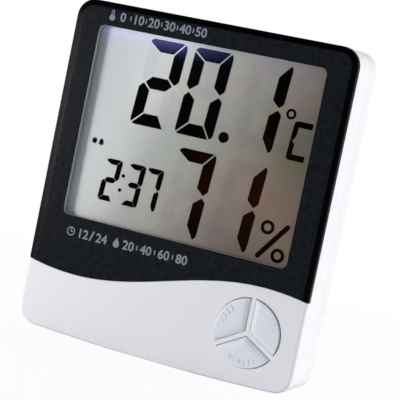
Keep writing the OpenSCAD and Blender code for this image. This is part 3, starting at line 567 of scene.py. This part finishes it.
def geometry_tree(name, inputs):
    """A new geometry tree with named inputs, and the outputs of its input node."""
    tree = bpy.data.node_groups.new(name, "GeometryNodeTree")
    for label, kind, value in inputs:
        tree.interface.new_socket(label, in_out="INPUT", socket_type=kind).default_value = value
    tree.interface.new_socket("Geometry", in_out="OUTPUT", socket_type="NodeSocketGeometry")
    return tree, tree.nodes.new("NodeGroupInput").outputs


def finished(tree, geometry, finish):
    """Ends a tree: what it makes becomes plain faces with that finish."""
    plain = put(tree, "GeometryNodeRealizeInstances", {"Geometry": geometry})
    dressed = put(tree, "GeometryNodeSetMaterial", {"Geometry": plain.outputs[0], "Material": finish})
    put(tree, "NodeGroupOutput", {"Geometry": dressed.outputs[0]})


def grown(tree, name, values):
    """Runs a tree with those inputs and returns what it makes as a plain mesh."""
    holder = show(name, bpy.data.meshes.new(name))
    maker = holder.modifiers.new(name, "NODES")
    maker.node_group = tree
    for item in tree.interface.items_tree:
        if item.in_out == "INPUT" and item.name in values:
            maker[item.identifier] = values[item.name]
    return mesh_of(holder)


def row_of_ticks(finish):
    """A row of upright bars along +X, as on a ruler."""
    tree, given = geometry_tree("row_of_ticks", [
        ("Count", "NodeSocketInt", 5), ("Step", "NodeSocketFloat", 6 * mm),
        ("Size", "NodeSocketVector", (mm, mm, mm)), ("Place", "NodeSocketVector", (0, 0, 0)),
    ])
    step = put(tree, "ShaderNodeCombineXYZ", {"X": given["Step"]})
    row = put(tree, "GeometryNodeMeshLine", {
        "Count": given["Count"], "Start Location": given["Place"], "Offset": step.outputs[0],
    })
    bar = put(tree, "GeometryNodeMeshCube", {"Size": given["Size"]})
    bars = put(tree, "GeometryNodeInstanceOnPoints", {"Points": row.outputs[0], "Instance": bar.outputs[0]})
    finished(tree, bars.outputs[0], finish)
    return tree


def thermometer(x, foot, tall):
    """A thermometer with a bulb at its foot and an empty upper tube."""
    bulb, tube = 0.29 * tall, 0.15 * tall
    top = (x, foot + tall - tube)
    meet = math.degrees(math.acos(tube / bulb))
    outline = arc((x, foot + bulb), bulb, meet, -180 - meet, 16) + arc(top, tube, 180, 0, 8)
    bore, level = 0.45 * tube, foot + 0.6 * tall
    return [outline, arc(top, bore, 180, 0, 6) + [(x + bore, level), (x - bore, level)]]


def drop(x, foot, tall):
    bulb, shoulder = 0.33 * tall, foot + 0.8 * tall
    tip = [(x + 0.1 * tall, shoulder), (x, foot + tall), (x - 0.1 * tall, shoulder)]
    return [arc((x, foot + bulb), bulb, 150, 390, 18) + tip]


def clock_rim(x, z):
    return [disc((x, z), 1.5), disc((x, z), 1.12)]


def clock_hands(x, z):
    """Two hands in one outline: the shorter points to the right and the longer one up."""
    half, short, long = 0.18, 0.8, 1.0
    hands = [(-half, -half), (short, -half), (short, half), (half, half), (half, long), (-half, long)]
    return [moved(hands, x, z)]


def slash(x, foot, tall):
    wide, lean = 0.6, 1.2
    return [moved([(0, 0), (wide, 0), (wide + lean, tall), (lean, tall)], x, foot)]


def pad_grey():
    made, shader, place = new_finish("pad_grey", (0.21, 0.235, 0.265), 0.5, specular=0.08)
    tinted(made, shader, speckle(made, place, 0.8), (0.17, 0.19, 0.22), (0.26, 0.285, 0.31))
    worn(made, shader, speckle(made, place, 1.3), 0.45, 0.6)
    return made


print_grey = pad_grey()
ticks = row_of_ticks(print_grey)


def scale_print(figures, first_x, step, foot):
    """A row of numbers with a tick between each two."""
    size = (tick_wide * mm, print_back - print_front, tick_tall * mm)
    place = ((first_x + step / 2) * mm, face_y, (foot + figure_tall / 2) * mm)
    between = grown(ticks, "ticks", {
        "Count": len(figures) - 1, "Step": step * mm, "Size": size, "Place": place,
    })
    return [number(text, first_x + step * k, foot) for k, text in enumerate(figures)] + [between]


upper = scale_print(("0", "10", "20", "30", "40", "50"), first_x=-32.0, step=5.6, foot=upper_foot)
upper.append(printed("thermometer", thermometer(-35.9, upper_foot - 0.3, figure_tall + 0.6)))
lower = scale_print(("20", "40", "60", "80"), first_x=-14.2, step=6.4, foot=lower_foot)
lower += [
    printed("clock_rim", clock_rim(-35.5, lower_foot + figure_tall / 2)),
    printed("clock_hands", clock_hands(-35.5, lower_foot + figure_tall / 2)),
    number("12", -31.0, lower_foot),
    printed("slash", slash(-28.6, lower_foot - 0.2, figure_tall + 0.4)),
    number("24", -24.1, lower_foot),
    printed("drop", drop(-18.6, lower_foot - 0.2, figure_tall + 0.5)),
]
for name, parts in (("temperature_print", upper), ("clock_print", lower)):
    mesh = gather(name, parts)
    dress(mesh, print_grey)
    link_piece(name, mesh, "case")


# Window lens and its tape: a clear acrylic pane, held behind the bezel by a ring of black tape.
# It has a hard coat, so it mirrors the studio faintly.
def clear_pane(name, tint, gloss, roughness):
    """Thin clear stock: it lets the light through and mirrors a little of it."""
    made, place = blank(name)
    haze = ranged(made, speckle(made, place, 9), 0.3, 0.7, 0.8 * roughness, 1.2 * roughness)
    clear = put(made, "ShaderNodeBsdfTransparent", {"Color": tint})
    mirror = put(made, "ShaderNodeBsdfGlossy", {"Color": (1, 1, 1), "Roughness": haze})
    edge = put(made, "ShaderNodeFresnel", {"IOR": 1.45}).outputs[0]
    end_in(made, clear, mirror, share=reckon(made, "MULTIPLY", edge, gloss))
    return made


def matt_black():
    made, shader, place = new_finish("tape_black", (0.02, 0.02, 0.022), 0.7)
    embossed(made, shader, speckle(made, place, 0.3), 0.02)
    return made


def coat(node, finish):
    """Gives a solid of the frame its finish."""
    dress(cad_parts[node].data, finish)


coat("window_lens", clear_pane("lens_acrylic", (0.996, 0.998, 0.998), 0.5, 0.05))
coat("lens_tape", matt_black())


# Display: a polarizer glued to the front glass, then the lit strokes, and the rear glass with the
# pearly ground that mirrors the light. From the upper left to the lower right the ground turns
# from silver to olive and rose in painted reflection and shade, and it carries patches of painted
# shade and painted reflection. The strokes that are not lit show as a faint print on the front glass's rear
# face.
smallest_stroke = 25 * mm * mm
straight_on = -0.99
same_place = 1
tens_left, ones_left, tenths_left = -24, -7.8, 12.6
humid_lefts = (-6.6, 11)
upper_row, lower_row = 73.0, 40.8
digit_tall, digit_half = 28.2, 7
unlit_front = face_y + 3.07 * mm
unlit_back = unlit_front + 0.02 * mm
slant_start, slant_end = -77 * mm, 27 * mm
# Painted reflection and shade: these tones make the ground silver at the upper left and dark olive at the
# lower right.
ground_tones_with_painted_light = [
    # place on the way from the upper left to the lower right, tone
    (0.07, (0.87, 0.885, 0.94)), (0.21, (0.90, 0.92, 0.94)), (0.29, (0.86, 0.865, 0.85)),
    (0.385, (0.65, 0.66, 0.635)), (0.48, (0.57, 0.555, 0.52)), (0.58, (0.48, 0.435, 0.395)),
    (0.69, (0.37, 0.31, 0.268)), (0.81, (0.26, 0.21, 0.17)), (0.93, (0.27, 0.205, 0.155)),
]
# Patches of painted light: the dark ones are painted shade, the rose, warm and blue ones are painted
# reflections and the pale one is a painted pool of light.
painted_light_patches = [
    # middle in mm, radius in mm, tone that the ground is multiplied by
    ((26, 0, 57), 17, (1.4, 1.18, 1.08)), ((36, 0, 77), 16, (0.72, 0.77, 0.72)),
    ((28, 0, 104), 20, (1.05, 1.1, 1.3)), ((9, 0, 59), 15, (1.03, 0.94, 0.88)),
    ((-15, 0, 92), 24, (1.14, 1.13, 1.1)), ((8, 0, 45), 14, (0.9, 0.91, 0.9)),
    ((41, 0, 69), 11, (0.78, 0.8, 0.78)),
]


def lofted(name, loops):
    """A closed solid through loops of equal length, which turn to the left seen from the front."""
    count = len(loops[0])
    faces = [list(range(count)), list(range(len(loops) * count))[:-count - 1:-1]]
    for row in range(len(loops) - 1):
        ring = list(range(row * count, (row + 1) * count))
        faces += [(here, here + count, after + count, after) for here, after in closed(ring)]
    mesh = bpy.data.meshes.new(name)
    mesh.from_pydata([point for loop in loops for point in loop], [], faces)
    return mesh


def upright_loop(low, high, depth):
    """The corners of a box's front view at that depth."""
    return [(low.x, depth, low.z), (high.x, depth, low.z), (high.x, depth, high.z), (low.x, depth, high.z)]


def fill_ramp(ramp, tones):
    """Gives a colour ramp its tones, each at its place from 0 to 1."""
    stops = ramp.color_ramp.elements
    while len(stops) < len(tones):
        stops.new(0.5)
    for stop, (place, tone) in zip(stops, tones):
        stop.position = place
        stop.color = (*tone, 1)


def distance_to(made, place, point):
    """How far a place is from a point given in mm."""
    return put(made, "ShaderNodeVectorMath", {
        0: place, 1: Vector(point) * mm,
    }, operation="DISTANCE").outputs["Value"]


def display_ground(name, film):
    """The ground's tones along a slant and its patches, both painted reflection and shade, with a pearly
    change of tint, through a film.
    """
    made, shader, place = new_finish(name, (0.7, 0.7, 0.7), 0.55, specular=0.25)
    cloud = speckle(made, place, 22, detail=1.0)
    drift = reckon(made, "MULTIPLY_ADD", cloud, 6 * mm, coordinate(made, place, "X"))
    slant = reckon(made, "MULTIPLY_ADD", coordinate(made, place, "Z"), -0.4, drift)
    ramp = put(made, "ShaderNodeValToRGB", {"Fac": ranged(made, slant, slant_start, slant_end)})
    fill_ramp(ramp, ground_tones_with_painted_light)
    colour = ramp.outputs["Color"]
    # Each patch multiplies the ground by its tone: it is painted shade where it darkens the ground and
    # painted reflection where it tints it.
    for middle, radius, tone in painted_light_patches:
        away = distance_to(made, place, middle)
        patch_share = ranged(made, away, 0.2 * radius * mm, radius * mm, 1.0, 0.0, smooth=True)
        colour = blended(made, patch_share, colour, tone, "MULTIPLY")
    pearl = put(made, "ShaderNodeTexNoise", {
        "Vector": place, "W": 5.2, "Scale": 1 / (9 * mm), "Detail": 4.0, "Roughness": 0.6,
    }, noise_dimensions="4D")
    pearly = blended(made, 0.45, colour, pearl.outputs["Color"], "SOFT_LIGHT")
    join(made, blended(made, 1.0, pearly, film, "MULTIPLY"), shader, "Base Color")
    embossed(made, shader, speckle(made, place, 0.35), 0.01, strength=0.3)
    return made


def stroke_black():
    """Near black, with a painted reflection that tints the strokes brown about one digit, as on the ground's
    painted slant.
    """
    black, brown = (0.0015, 0.0012, 0.0006), (0.023, 0.006, 0.0015)
    made, shader, place = new_finish("stroke_black", black, 0.5, specular=0.0)
    # Painted reflection: the strokes turn brown about the middle of the lower right digits.
    glow = ranged(made, distance_to(made, place, (21, -7, 58)), 26 * mm, 4 * mm)
    tinted(made, shader, glow, black, brown)
    return made


def front_outlines(mesh):
    """The outlines of a mesh's larger flat fronts as (x, z) in mm."""
    shape = welded(mesh)
    fronts = [[(corner.co.x / mm, corner.co.z / mm) for corner in face.verts] for face in shape.faces
              if face.normal.y < straight_on and face.calc_area() > smallest_stroke]
    shape.free()
    return fronts


def middle_of(outline):
    return Vector((sum(x for x, z in outline), sum(z for x, z in outline))) / len(outline)


def unlit_strokes(lit):
    """The strokes of the five large digits that are not lit.

    Each digit is a figure eight: the upper row's nought with the middle bar of the two before it."""
    eight = [ring for ring in lit if abs(middle_of(ring).x) < digit_half and middle_of(ring).y > upper_row]
    bar = [ring for ring in lit if abs(middle_of(ring).y - upper_row - digit_tall / 2) < same_place]
    eight.append(moved(bar[0], ones_left - tens_left, 0))
    places = [(left, upper_row) for left in (tens_left, ones_left, tenths_left)]
    places += [(left, lower_row) for left in humid_lefts]
    for left, foot in places:
        for ring in eight:
            stroke = moved(ring, left - ones_left, foot - upper_row)
            if all((middle_of(stroke) - middle_of(other)).length > same_place for other in lit):
                yield prism("unlit", [stroke], unlit_front, unlit_back)


film_low, film_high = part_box("front_polarizer")
glass_low, glass_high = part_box("front_glass")
pane = lofted("front_glass_pane", [
    upright_loop(film_low, film_high, film_low.y), upright_loop(film_low, film_high, film_high.y),
    upright_loop(glass_low, glass_high, glass_low.y), upright_loop(glass_low, glass_high, glass_high.y),
])
dress(pane, clear_pane("polarized_glass", (0.995, 0.998, 0.992), 0.1, 0.1))
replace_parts(link_piece("front_glass_pane", pane, "case"), "front_polarizer", "front_glass")
coat("segments", stroke_black())
coat("rear_glass", display_ground("display_ground", (1, 1, 1)))
unlit = gather("unlit_strokes", list(unlit_strokes(front_outlines(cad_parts["segments"].data))))
dress(unlit, display_ground("unlit_ground", (0.93, 0.925, 0.975)))
link_piece("unlit_strokes", unlit, "case")


# Reflector, display frame and rubber strip: behind the glass lies a foil, then a white moulded
# frame. The strip at the top is silicone with carbon layers, which join the glass to the board.
def metal(name, colour, roughness):
    """Bare metal with fine marks."""
    made, shader, place = new_finish(name, colour, roughness, metallic=1.0)
    worn(made, shader, speckle(made, place, 0.8, detail=4.0), 0.75 * roughness, 1.3 * roughness)
    return made


def plain_plastic(name, colour, roughness, grain=0.5):
    """Moulded plastic with a slight change of tone and a fine grain."""
    made, shader, place = new_finish(name, colour, roughness)
    tinted(made, shader, speckle(made, place, 6), colour, [0.93 * tone for tone in colour])
    embossed(made, shader, speckle(made, place, grain), 0.01)
    return made


def stripes(made, place, width):
    """Upright stripes of that width in mm."""
    return put(made, "ShaderNodeTexWave", {
        "Vector": place, "Scale": 0.5 / (width * mm),
    }, bands_direction="X").outputs["Fac"]


def layered_rubber():
    made, shader, place = new_finish("layered_rubber", (0.05, 0.05, 0.055), 0.6)
    tinted(made, shader, stripes(made, place, 0.36), (0.03, 0.03, 0.032), (0.28, 0.27, 0.27))
    return made


coat("reflector", metal("reflector_foil", (0.83, 0.84, 0.85), 0.25))
coat("display_frame", plain_plastic("frame_white", (0.68, 0.69, 0.67), 0.45))
coat("zebra_strip", layered_rubber())


# Main board: green glass fibre board with tracks under the mask, on four screws. Its chip sits
# under an epoxy drop, and the crystal, capacitors and resistors are soldered beside it.
capacitor_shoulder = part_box("capacitors")[1].y - 0.45 * mm
resistor_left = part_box("resistors")[0].x
resistor_step, resistor_half, resistor_middle = 3.2 * mm, 0.8 * mm, 0.5 * mm


def board_green():
    made, shader, place = new_finish("board_green", (0.012, 0.12, 0.045), 0.3)
    flat = put(made, "ShaderNodeVectorMath", {0: place, 1: (1, 0, 1)}, operation="MULTIPLY").outputs[0]
    upright = put(made, "ShaderNodeMapping", {"Vector": flat, "Rotation": (math.pi / 2, 0, 0)}).outputs[0]
    tracks = put(made, "ShaderNodeTexBrick", {
        "Vector": upright, "Scale": 1.0, "Brick Width": 7.3 * mm, "Row Height": 1.1 * mm,
        "Mortar Size": 0.17 * mm,
    }).outputs["Fac"]
    tinted(made, shader, tracks, (0.010, 0.105, 0.04), (0.03, 0.21, 0.075))
    embossed(made, shader, tracks, 0.03)
    return made


def partly_metal(made, shader, where, covered, bare):
    """A covered tone, and a bare metal one wherever a value is 1."""
    tinted(made, shader, where, covered, bare)
    join(made, where, shader, "Metallic")


def capacitor_blue():
    """A blue sleeve that leaves the can's end bare."""
    blue = (0.015, 0.03, 0.09)
    made, shader, place = new_finish("capacitor_sleeve", blue, 0.35)
    end = reckon(made, "GREATER_THAN", coordinate(made, place, "Y"), capacitor_shoulder)
    partly_metal(made, shader, end, blue, (0.6, 0.6, 0.6))
    return made


def resistor_black():
    """Black bodies in a row along +X, with tinned ends."""
    black = (0.02, 0.02, 0.022)
    made, shader, place = new_finish("resistor_black", black, 0.35)
    past_first = reckon(made, "SUBTRACT", coordinate(made, place, "X"), resistor_left)
    along = reckon(made, "FLOORED_MODULO", past_first, resistor_step)
    off_middle = reckon(made, "ABSOLUTE", reckon(made, "SUBTRACT", along, resistor_half))
    tinned = reckon(made, "GREATER_THAN", off_middle, resistor_middle)
    partly_metal(made, shader, tinned, black, (0.55, 0.55, 0.54))
    return made


coat("main_board", board_green())
coat("board_screws", metal("screw_steel", (0.62, 0.62, 0.6), 0.3))
coat("chip_drop", plain_plastic("epoxy_black", (0.012, 0.012, 0.013), 0.15, grain=3))
coat("crystal", metal("crystal_can", (0.72, 0.72, 0.7), 0.18))
coat("capacitors", capacitor_blue())
coat("resistors", resistor_black())


# Sensors and buzzer: a humidity plate with gold comb electrodes in an open plastic housing, a
# thermistor bead on two wires beside it, and a round black plastic buzzer. All are soldered to
# the board, and the slots in the rear cover lie behind them.
wire_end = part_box("thermistor")[0].y + 1.9 * mm


def comb_gold():
    made, shader, place = new_finish("comb_gold", (0.7, 0.5, 0.15), 0.35)
    combs = reckon(made, "GREATER_THAN", stripes(made, place, 0.5), 0.5)
    partly_metal(made, shader, combs, (0.62, 0.62, 0.58), (0.75, 0.5, 0.15))
    return made


def bead_black():
    """A black bead on bare wires."""
    black = (0.015, 0.015, 0.016)
    made, shader, place = new_finish("bead_black", black, 0.3)
    wires = reckon(made, "LESS_THAN", coordinate(made, place, "Y"), wire_end)
    partly_metal(made, shader, wires, black, (0.6, 0.6, 0.58))
    return made


coat("humidity_sensor", comb_gold())
coat("sensor_housing", plain_plastic("housing_white", (0.74, 0.73, 0.68), 0.4))
coat("thermistor", bead_black())
coat("buzzer", plain_plastic("buzzer_black", (0.02, 0.02, 0.021), 0.4))


# Switches and plungers: five push switches soldered to the board, black plastic bodies with pale
# plastic plungers that stand against the backs of the buttons.
switch_black = plain_plastic("switch_black", (0.022, 0.022, 0.024), 0.35)
plunger_pale = plain_plastic("plunger_pale", (0.6, 0.6, 0.57), 0.4)
for node in ("front_switches", "rear_switches"):
    coat(node, switch_black)
for node in ("mode_plunger", "adjust_plunger", "memory_plunger", "unit_plunger", "reset_plunger"):
    coat(node, plunger_pale)


# Front buttons: three sectors of one circle, moulded in white ABS with a flange behind the case
# wall. Each has sloping sides, a slightly domed top and a row of raised bars along its rim.
ring_middle = Vector((31.5, 0, 17.1)) * mm
play = Vector((-0.1, 0, -0.08)) * mm
white_face_y = face_y + 0.5 * mm
button_profile = [
    # depth behind the white face, how far the sides are drawn in, radius of the rim, corners
    (2.9, 0.3, 12.2, 0.25), (2.1, 0.3, 12.2, 0.25), (2.1, 0.92, 11.02, 0.3), (0.20, 0.92, 11.02, 0.3),
    (0.06, 0.95, 11.02, 0.3), (-0.06, 1.12, 11.01, 0.32), (-0.20, 1.38, 11.0, 0.35),
    (-0.34, 1.64, 10.98, 0.4), (-0.46, 1.9, 10.94, 0.45), (-0.54, 2.2, 10.86, 0.5),
    (-0.59, 2.6, 10.72, 0.5), (-0.61, 3.1, 10.5, 0.5), (-0.62, 3.9, 10.1, 0.5),
]
bar_size = Vector((0.7, 0.2, 1.6)) * mm
bar_radius = 9.15 * mm
bar_step = math.radians(10.5)
bar_sunk = 0.2 * mm


def turned(points, angle, middle):
    """Points of a front view, turned about the origin and set at the middle of the ring."""
    cosine, sine = math.cos(math.radians(angle)), math.sin(math.radians(angle))
    return [(middle.x + cosine * x - sine * z, middle.z + sine * x + cosine * z) for x, z in points]


def sector_outline(inset, reach, corner):
    """One third of a circle along +X, its straight sides drawn in and its corners rounded, in mm."""
    slope = math.sqrt(3) / 2
    along = math.sqrt((reach - corner) ** 2 - (inset + corner) ** 2)
    corner_at = (slope * (inset + corner) + along / 2, (inset + corner) / 2 - slope * along)
    lowest = math.degrees(math.atan2(corner_at[1], corner_at[0]))
    tip_at = ((inset + corner) / slope, 0)
    points = arc(corner_at, corner, -150, lowest, 6)
    points += arc((0, 0), reach, lowest, -lowest, 30)[1:-1]
    points += arc((corner_at[0], -corner_at[1]), corner, -lowest, 150, 6)
    points += arc(tip_at, corner, 150, 210, 6)
    return points


def button_mesh(name, angle):
    """A button's solid, lofted from its domed top to the back of its flange."""
    loops = []
    for depth, inset, reach, corner in reversed(button_profile):
        outline = turned(sector_outline(inset, reach, corner), angle, (ring_middle + play) / mm)
        loops.append([(x * mm, white_face_y + depth * mm, z * mm) for x, z in outline])
    mesh = lofted(name, loops)
    shade(mesh, math.radians(40))
    return mesh


def bars_on_an_arc(finish):
    """Raised bars that point outwards along an arc about Place, Middle being the arc's middle angle."""
    tree, given = geometry_tree("bars_on_an_arc", [
        ("Count", "NodeSocketInt", 4), ("Radius", "NodeSocketFloat", 9 * mm),
        ("Middle", "NodeSocketFloat", 0.0), ("Step", "NodeSocketFloat", 0.2),
        ("Size", "NodeSocketVector", (mm, mm, mm)), ("Place", "NodeSocketVector", (0, 0, 0)),
    ])
    row = put(tree, "GeometryNodeMeshLine", {"Count": given["Count"]})
    index = put(tree, "GeometryNodeInputIndex", {}).outputs[0]
    from_middle = reckon(tree, "SUBTRACT", index, reckon(tree, "MULTIPLY_ADD", given["Count"], 0.5, -0.5))
    angle = reckon(tree, "MULTIPLY_ADD", from_middle, given["Step"], given["Middle"])
    outward = put(tree, "ShaderNodeCombineXYZ", {
        "X": reckon(tree, "COSINE", angle), "Z": reckon(tree, "SINE", angle),
    }).outputs[0]
    away = put(tree, "ShaderNodeVectorMath", {0: outward, 3: given["Radius"]}, operation="SCALE")
    at = put(tree, "ShaderNodeVectorMath", {0: away.outputs[0], 1: given["Place"]}, operation="ADD")
    placed = put(tree, "GeometryNodeSetPosition", {"Geometry": row.outputs[0], "Position": at.outputs[0]})
    turn = put(tree, "ShaderNodeCombineXYZ", {"Y": reckon(tree, "SUBTRACT", math.pi / 2, angle)})
    bar = put(tree, "GeometryNodeMeshCube", {"Size": given["Size"]})
    bars = put(tree, "GeometryNodeInstanceOnPoints", {
        "Points": placed.outputs[0], "Instance": bar.outputs[0], "Rotation": turn.outputs[0],
    })
    finished(tree, bars.outputs[0], finish)
    return tree


button_white = white_plastic("button_white", (0.738, 0.742, 0.792), (0.712, 0.72, 0.776))
bars = bars_on_an_arc(button_white)
bar_place = ring_middle + play + Vector((0, face_y - bar_sunk, 0))
for name, angle, count in (("mode_button", 150, 4), ("adjust_button", 30, 3), ("memory_button", 270, 6)):
    raised = grown(bars, name + "_bars", {
        "Count": count, "Radius": bar_radius, "Middle": math.radians(angle), "Step": bar_step,
        "Size": bar_size, "Place": bar_place,
    })
    button = gather(name + "_cap", [button_mesh(name, angle), raised])
    dress(button, button_white)
    piece = link_piece(name + "_cap", button, name)
    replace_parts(piece, name)


# Rear cover: the white back with its battery bay, stand recess, vents, sound holes and hanging
# slot. It is moulded like the front case and held by four screws in deep holes. Sunk marks show
# a thermometer at the unit key, a round arrow at the reset key and which way up the cell goes.
back_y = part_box("rear_cover")[1].y
unit_key, reset_key = (sum(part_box(key), Vector()) / 2 / mm for key in ("unit_button", "reset_button"))
door_low, door_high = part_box("battery_door")
mark_x = 28.5
thermometer_tall = 5.6
cell_mark_rise = 7.5
mark_front, mark_back = back_y - 0.4 * mm, back_y + 0.1 * mm


def round_arrow(centre, radius, wide):
    """A line three quarters round, with a head at its end."""
    outer, inner, head = radius + wide / 2, radius - wide / 2, 1.4 * wide
    tip = [spot(centre, radius + head, 300), spot(centre, radius, 345), spot(centre, radius - head, 300)]
    return [arc(centre, outer, 40, 300, 20) + tip + arc(centre, inner, 300, 40, 20)]


def rectangle(x, z, wide, tall):
    return [(x + a * wide / 2, z + b * tall / 2) for a, b in ((-1, -1), (1, -1), (1, 1), (-1, 1))]


def cross(x, z, reach, half):
    quarter = [(reach, -half), (reach, half), (half, half)]
    turns = ((1, 0), (0, 1), (-1, 0), (0, -1))
    return [(x + c * px - s * pz, z + s * px + c * pz) for c, s in turns for px, pz in quarter]


def upright_cell(x, z):
    """A cell's outline with a nub on top, and the signs of its two ends."""
    wide, tall, nub, line = 4.4, 8.6, 1.6, 0.6
    top, half = tall / 2, wide / 2
    outline = [
        (half, top), (nub / 2, top), (nub / 2, top + nub / 2), (-nub / 2, top + nub / 2), (-nub / 2, top),
        (-half, top), (-half, -top), (half, -top),
    ]
    inside = rectangle(x, z, wide - 2 * line, tall - 2 * line)
    plus = cross(x, z + tall / 4, 0.9, line / 2)
    minus = rectangle(x, z - tall / 4, 1.8, line)
    return [[moved(outline, x, z), inside], [plus], [minus]]


mark_outlines = [
    thermometer(mark_x, unit_key.z - thermometer_tall / 2, thermometer_tall),
    round_arrow((mark_x, reset_key.z), 1.9, 0.6),
] + upright_cell((door_low.x + door_high.x) / 2 / mm, door_high.z / mm + cell_mark_rise)
marks = gather("rear_marks", [prism("mark", outlines, mark_front, mark_back) for outlines in mark_outlines])
cover_white = white_plastic("cover_white", (0.76, 0.765, 0.785), (0.735, 0.74, 0.765))
moulded("rear_cover_moulding", "rear_cover", "case", [cover_white], broken=0.12, marks=marks)
coat("case_screws", metal("case_screw_steel", (0.62, 0.62, 0.6), 0.3))


# Rear buttons: two round keys of white ABS for the unit and for the reset. They slide in holes of
# the rear cover, just below its face, on their switches' plungers.
for name in ("unit_button", "reset_button"):
    moulded(name + "_cap", name, name, [button_white], broken=0.15)


# Stand and battery door: a flap with grip grooves that turns on two pins, and a door that tilts
# out over the battery bay. Both are moulded like the rear cover and snapped into it.
moulded("stand_moulding", "stand", "stand", [cover_white], broken=0.15)
moulded("battery_door_moulding", "battery_door", "battery_door", [cover_white], broken=0.1)


# Cell and contacts: a plain AAA cell in a printed sleeve, between two nickel plates and a coil
# spring, with a red and a black lead to the board.
sleeve_low, sleeve_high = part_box("cell_sleeve")
sleeve_tones = [
    # place from the foot to the top of the sleeve, tone
    (0.0, (0.03, 0.035, 0.05)), (0.66, (0.62, 0.63, 0.65)), (0.70, (0.03, 0.22, 0.32)),
    (0.94, (0.5, 0.5, 0.5)),
]


def sleeve_print():
    made, shader, place = new_finish("sleeve_print", (0.3, 0.3, 0.32), 0.25)
    up = ranged(made, coordinate(made, place, "Z"), sleeve_low.z, sleeve_high.z)
    bands = put(made, "ShaderNodeValToRGB", {"Fac": up})
    bands.color_ramp.interpolation = "CONSTANT"
    fill_ramp(bands, sleeve_tones)
    join(made, bands.outputs["Color"], shader, "Base Color")
    worn(made, shader, speckle(made, place, 2), 0.2, 0.3)
    return made


coat("cell_sleeve", sleeve_print())
coat("cell_can", metal("cell_steel", (0.7, 0.7, 0.69), 0.2))
nickel = metal("contact_nickel", (0.68, 0.67, 0.63), 0.28)
for node in ("positive_contact", "negative_contact", "negative_spring"):
    coat(node, nickel)
coat("red_lead", plain_plastic("lead_red", (0.45, 0.015, 0.02), 0.4))
coat("black_lead", plain_plastic("lead_black", (0.012, 0.012, 0.013), 0.4))


shown_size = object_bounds()
str([[list(corner) for corner in size] for size in (cad_size, shown_size)])
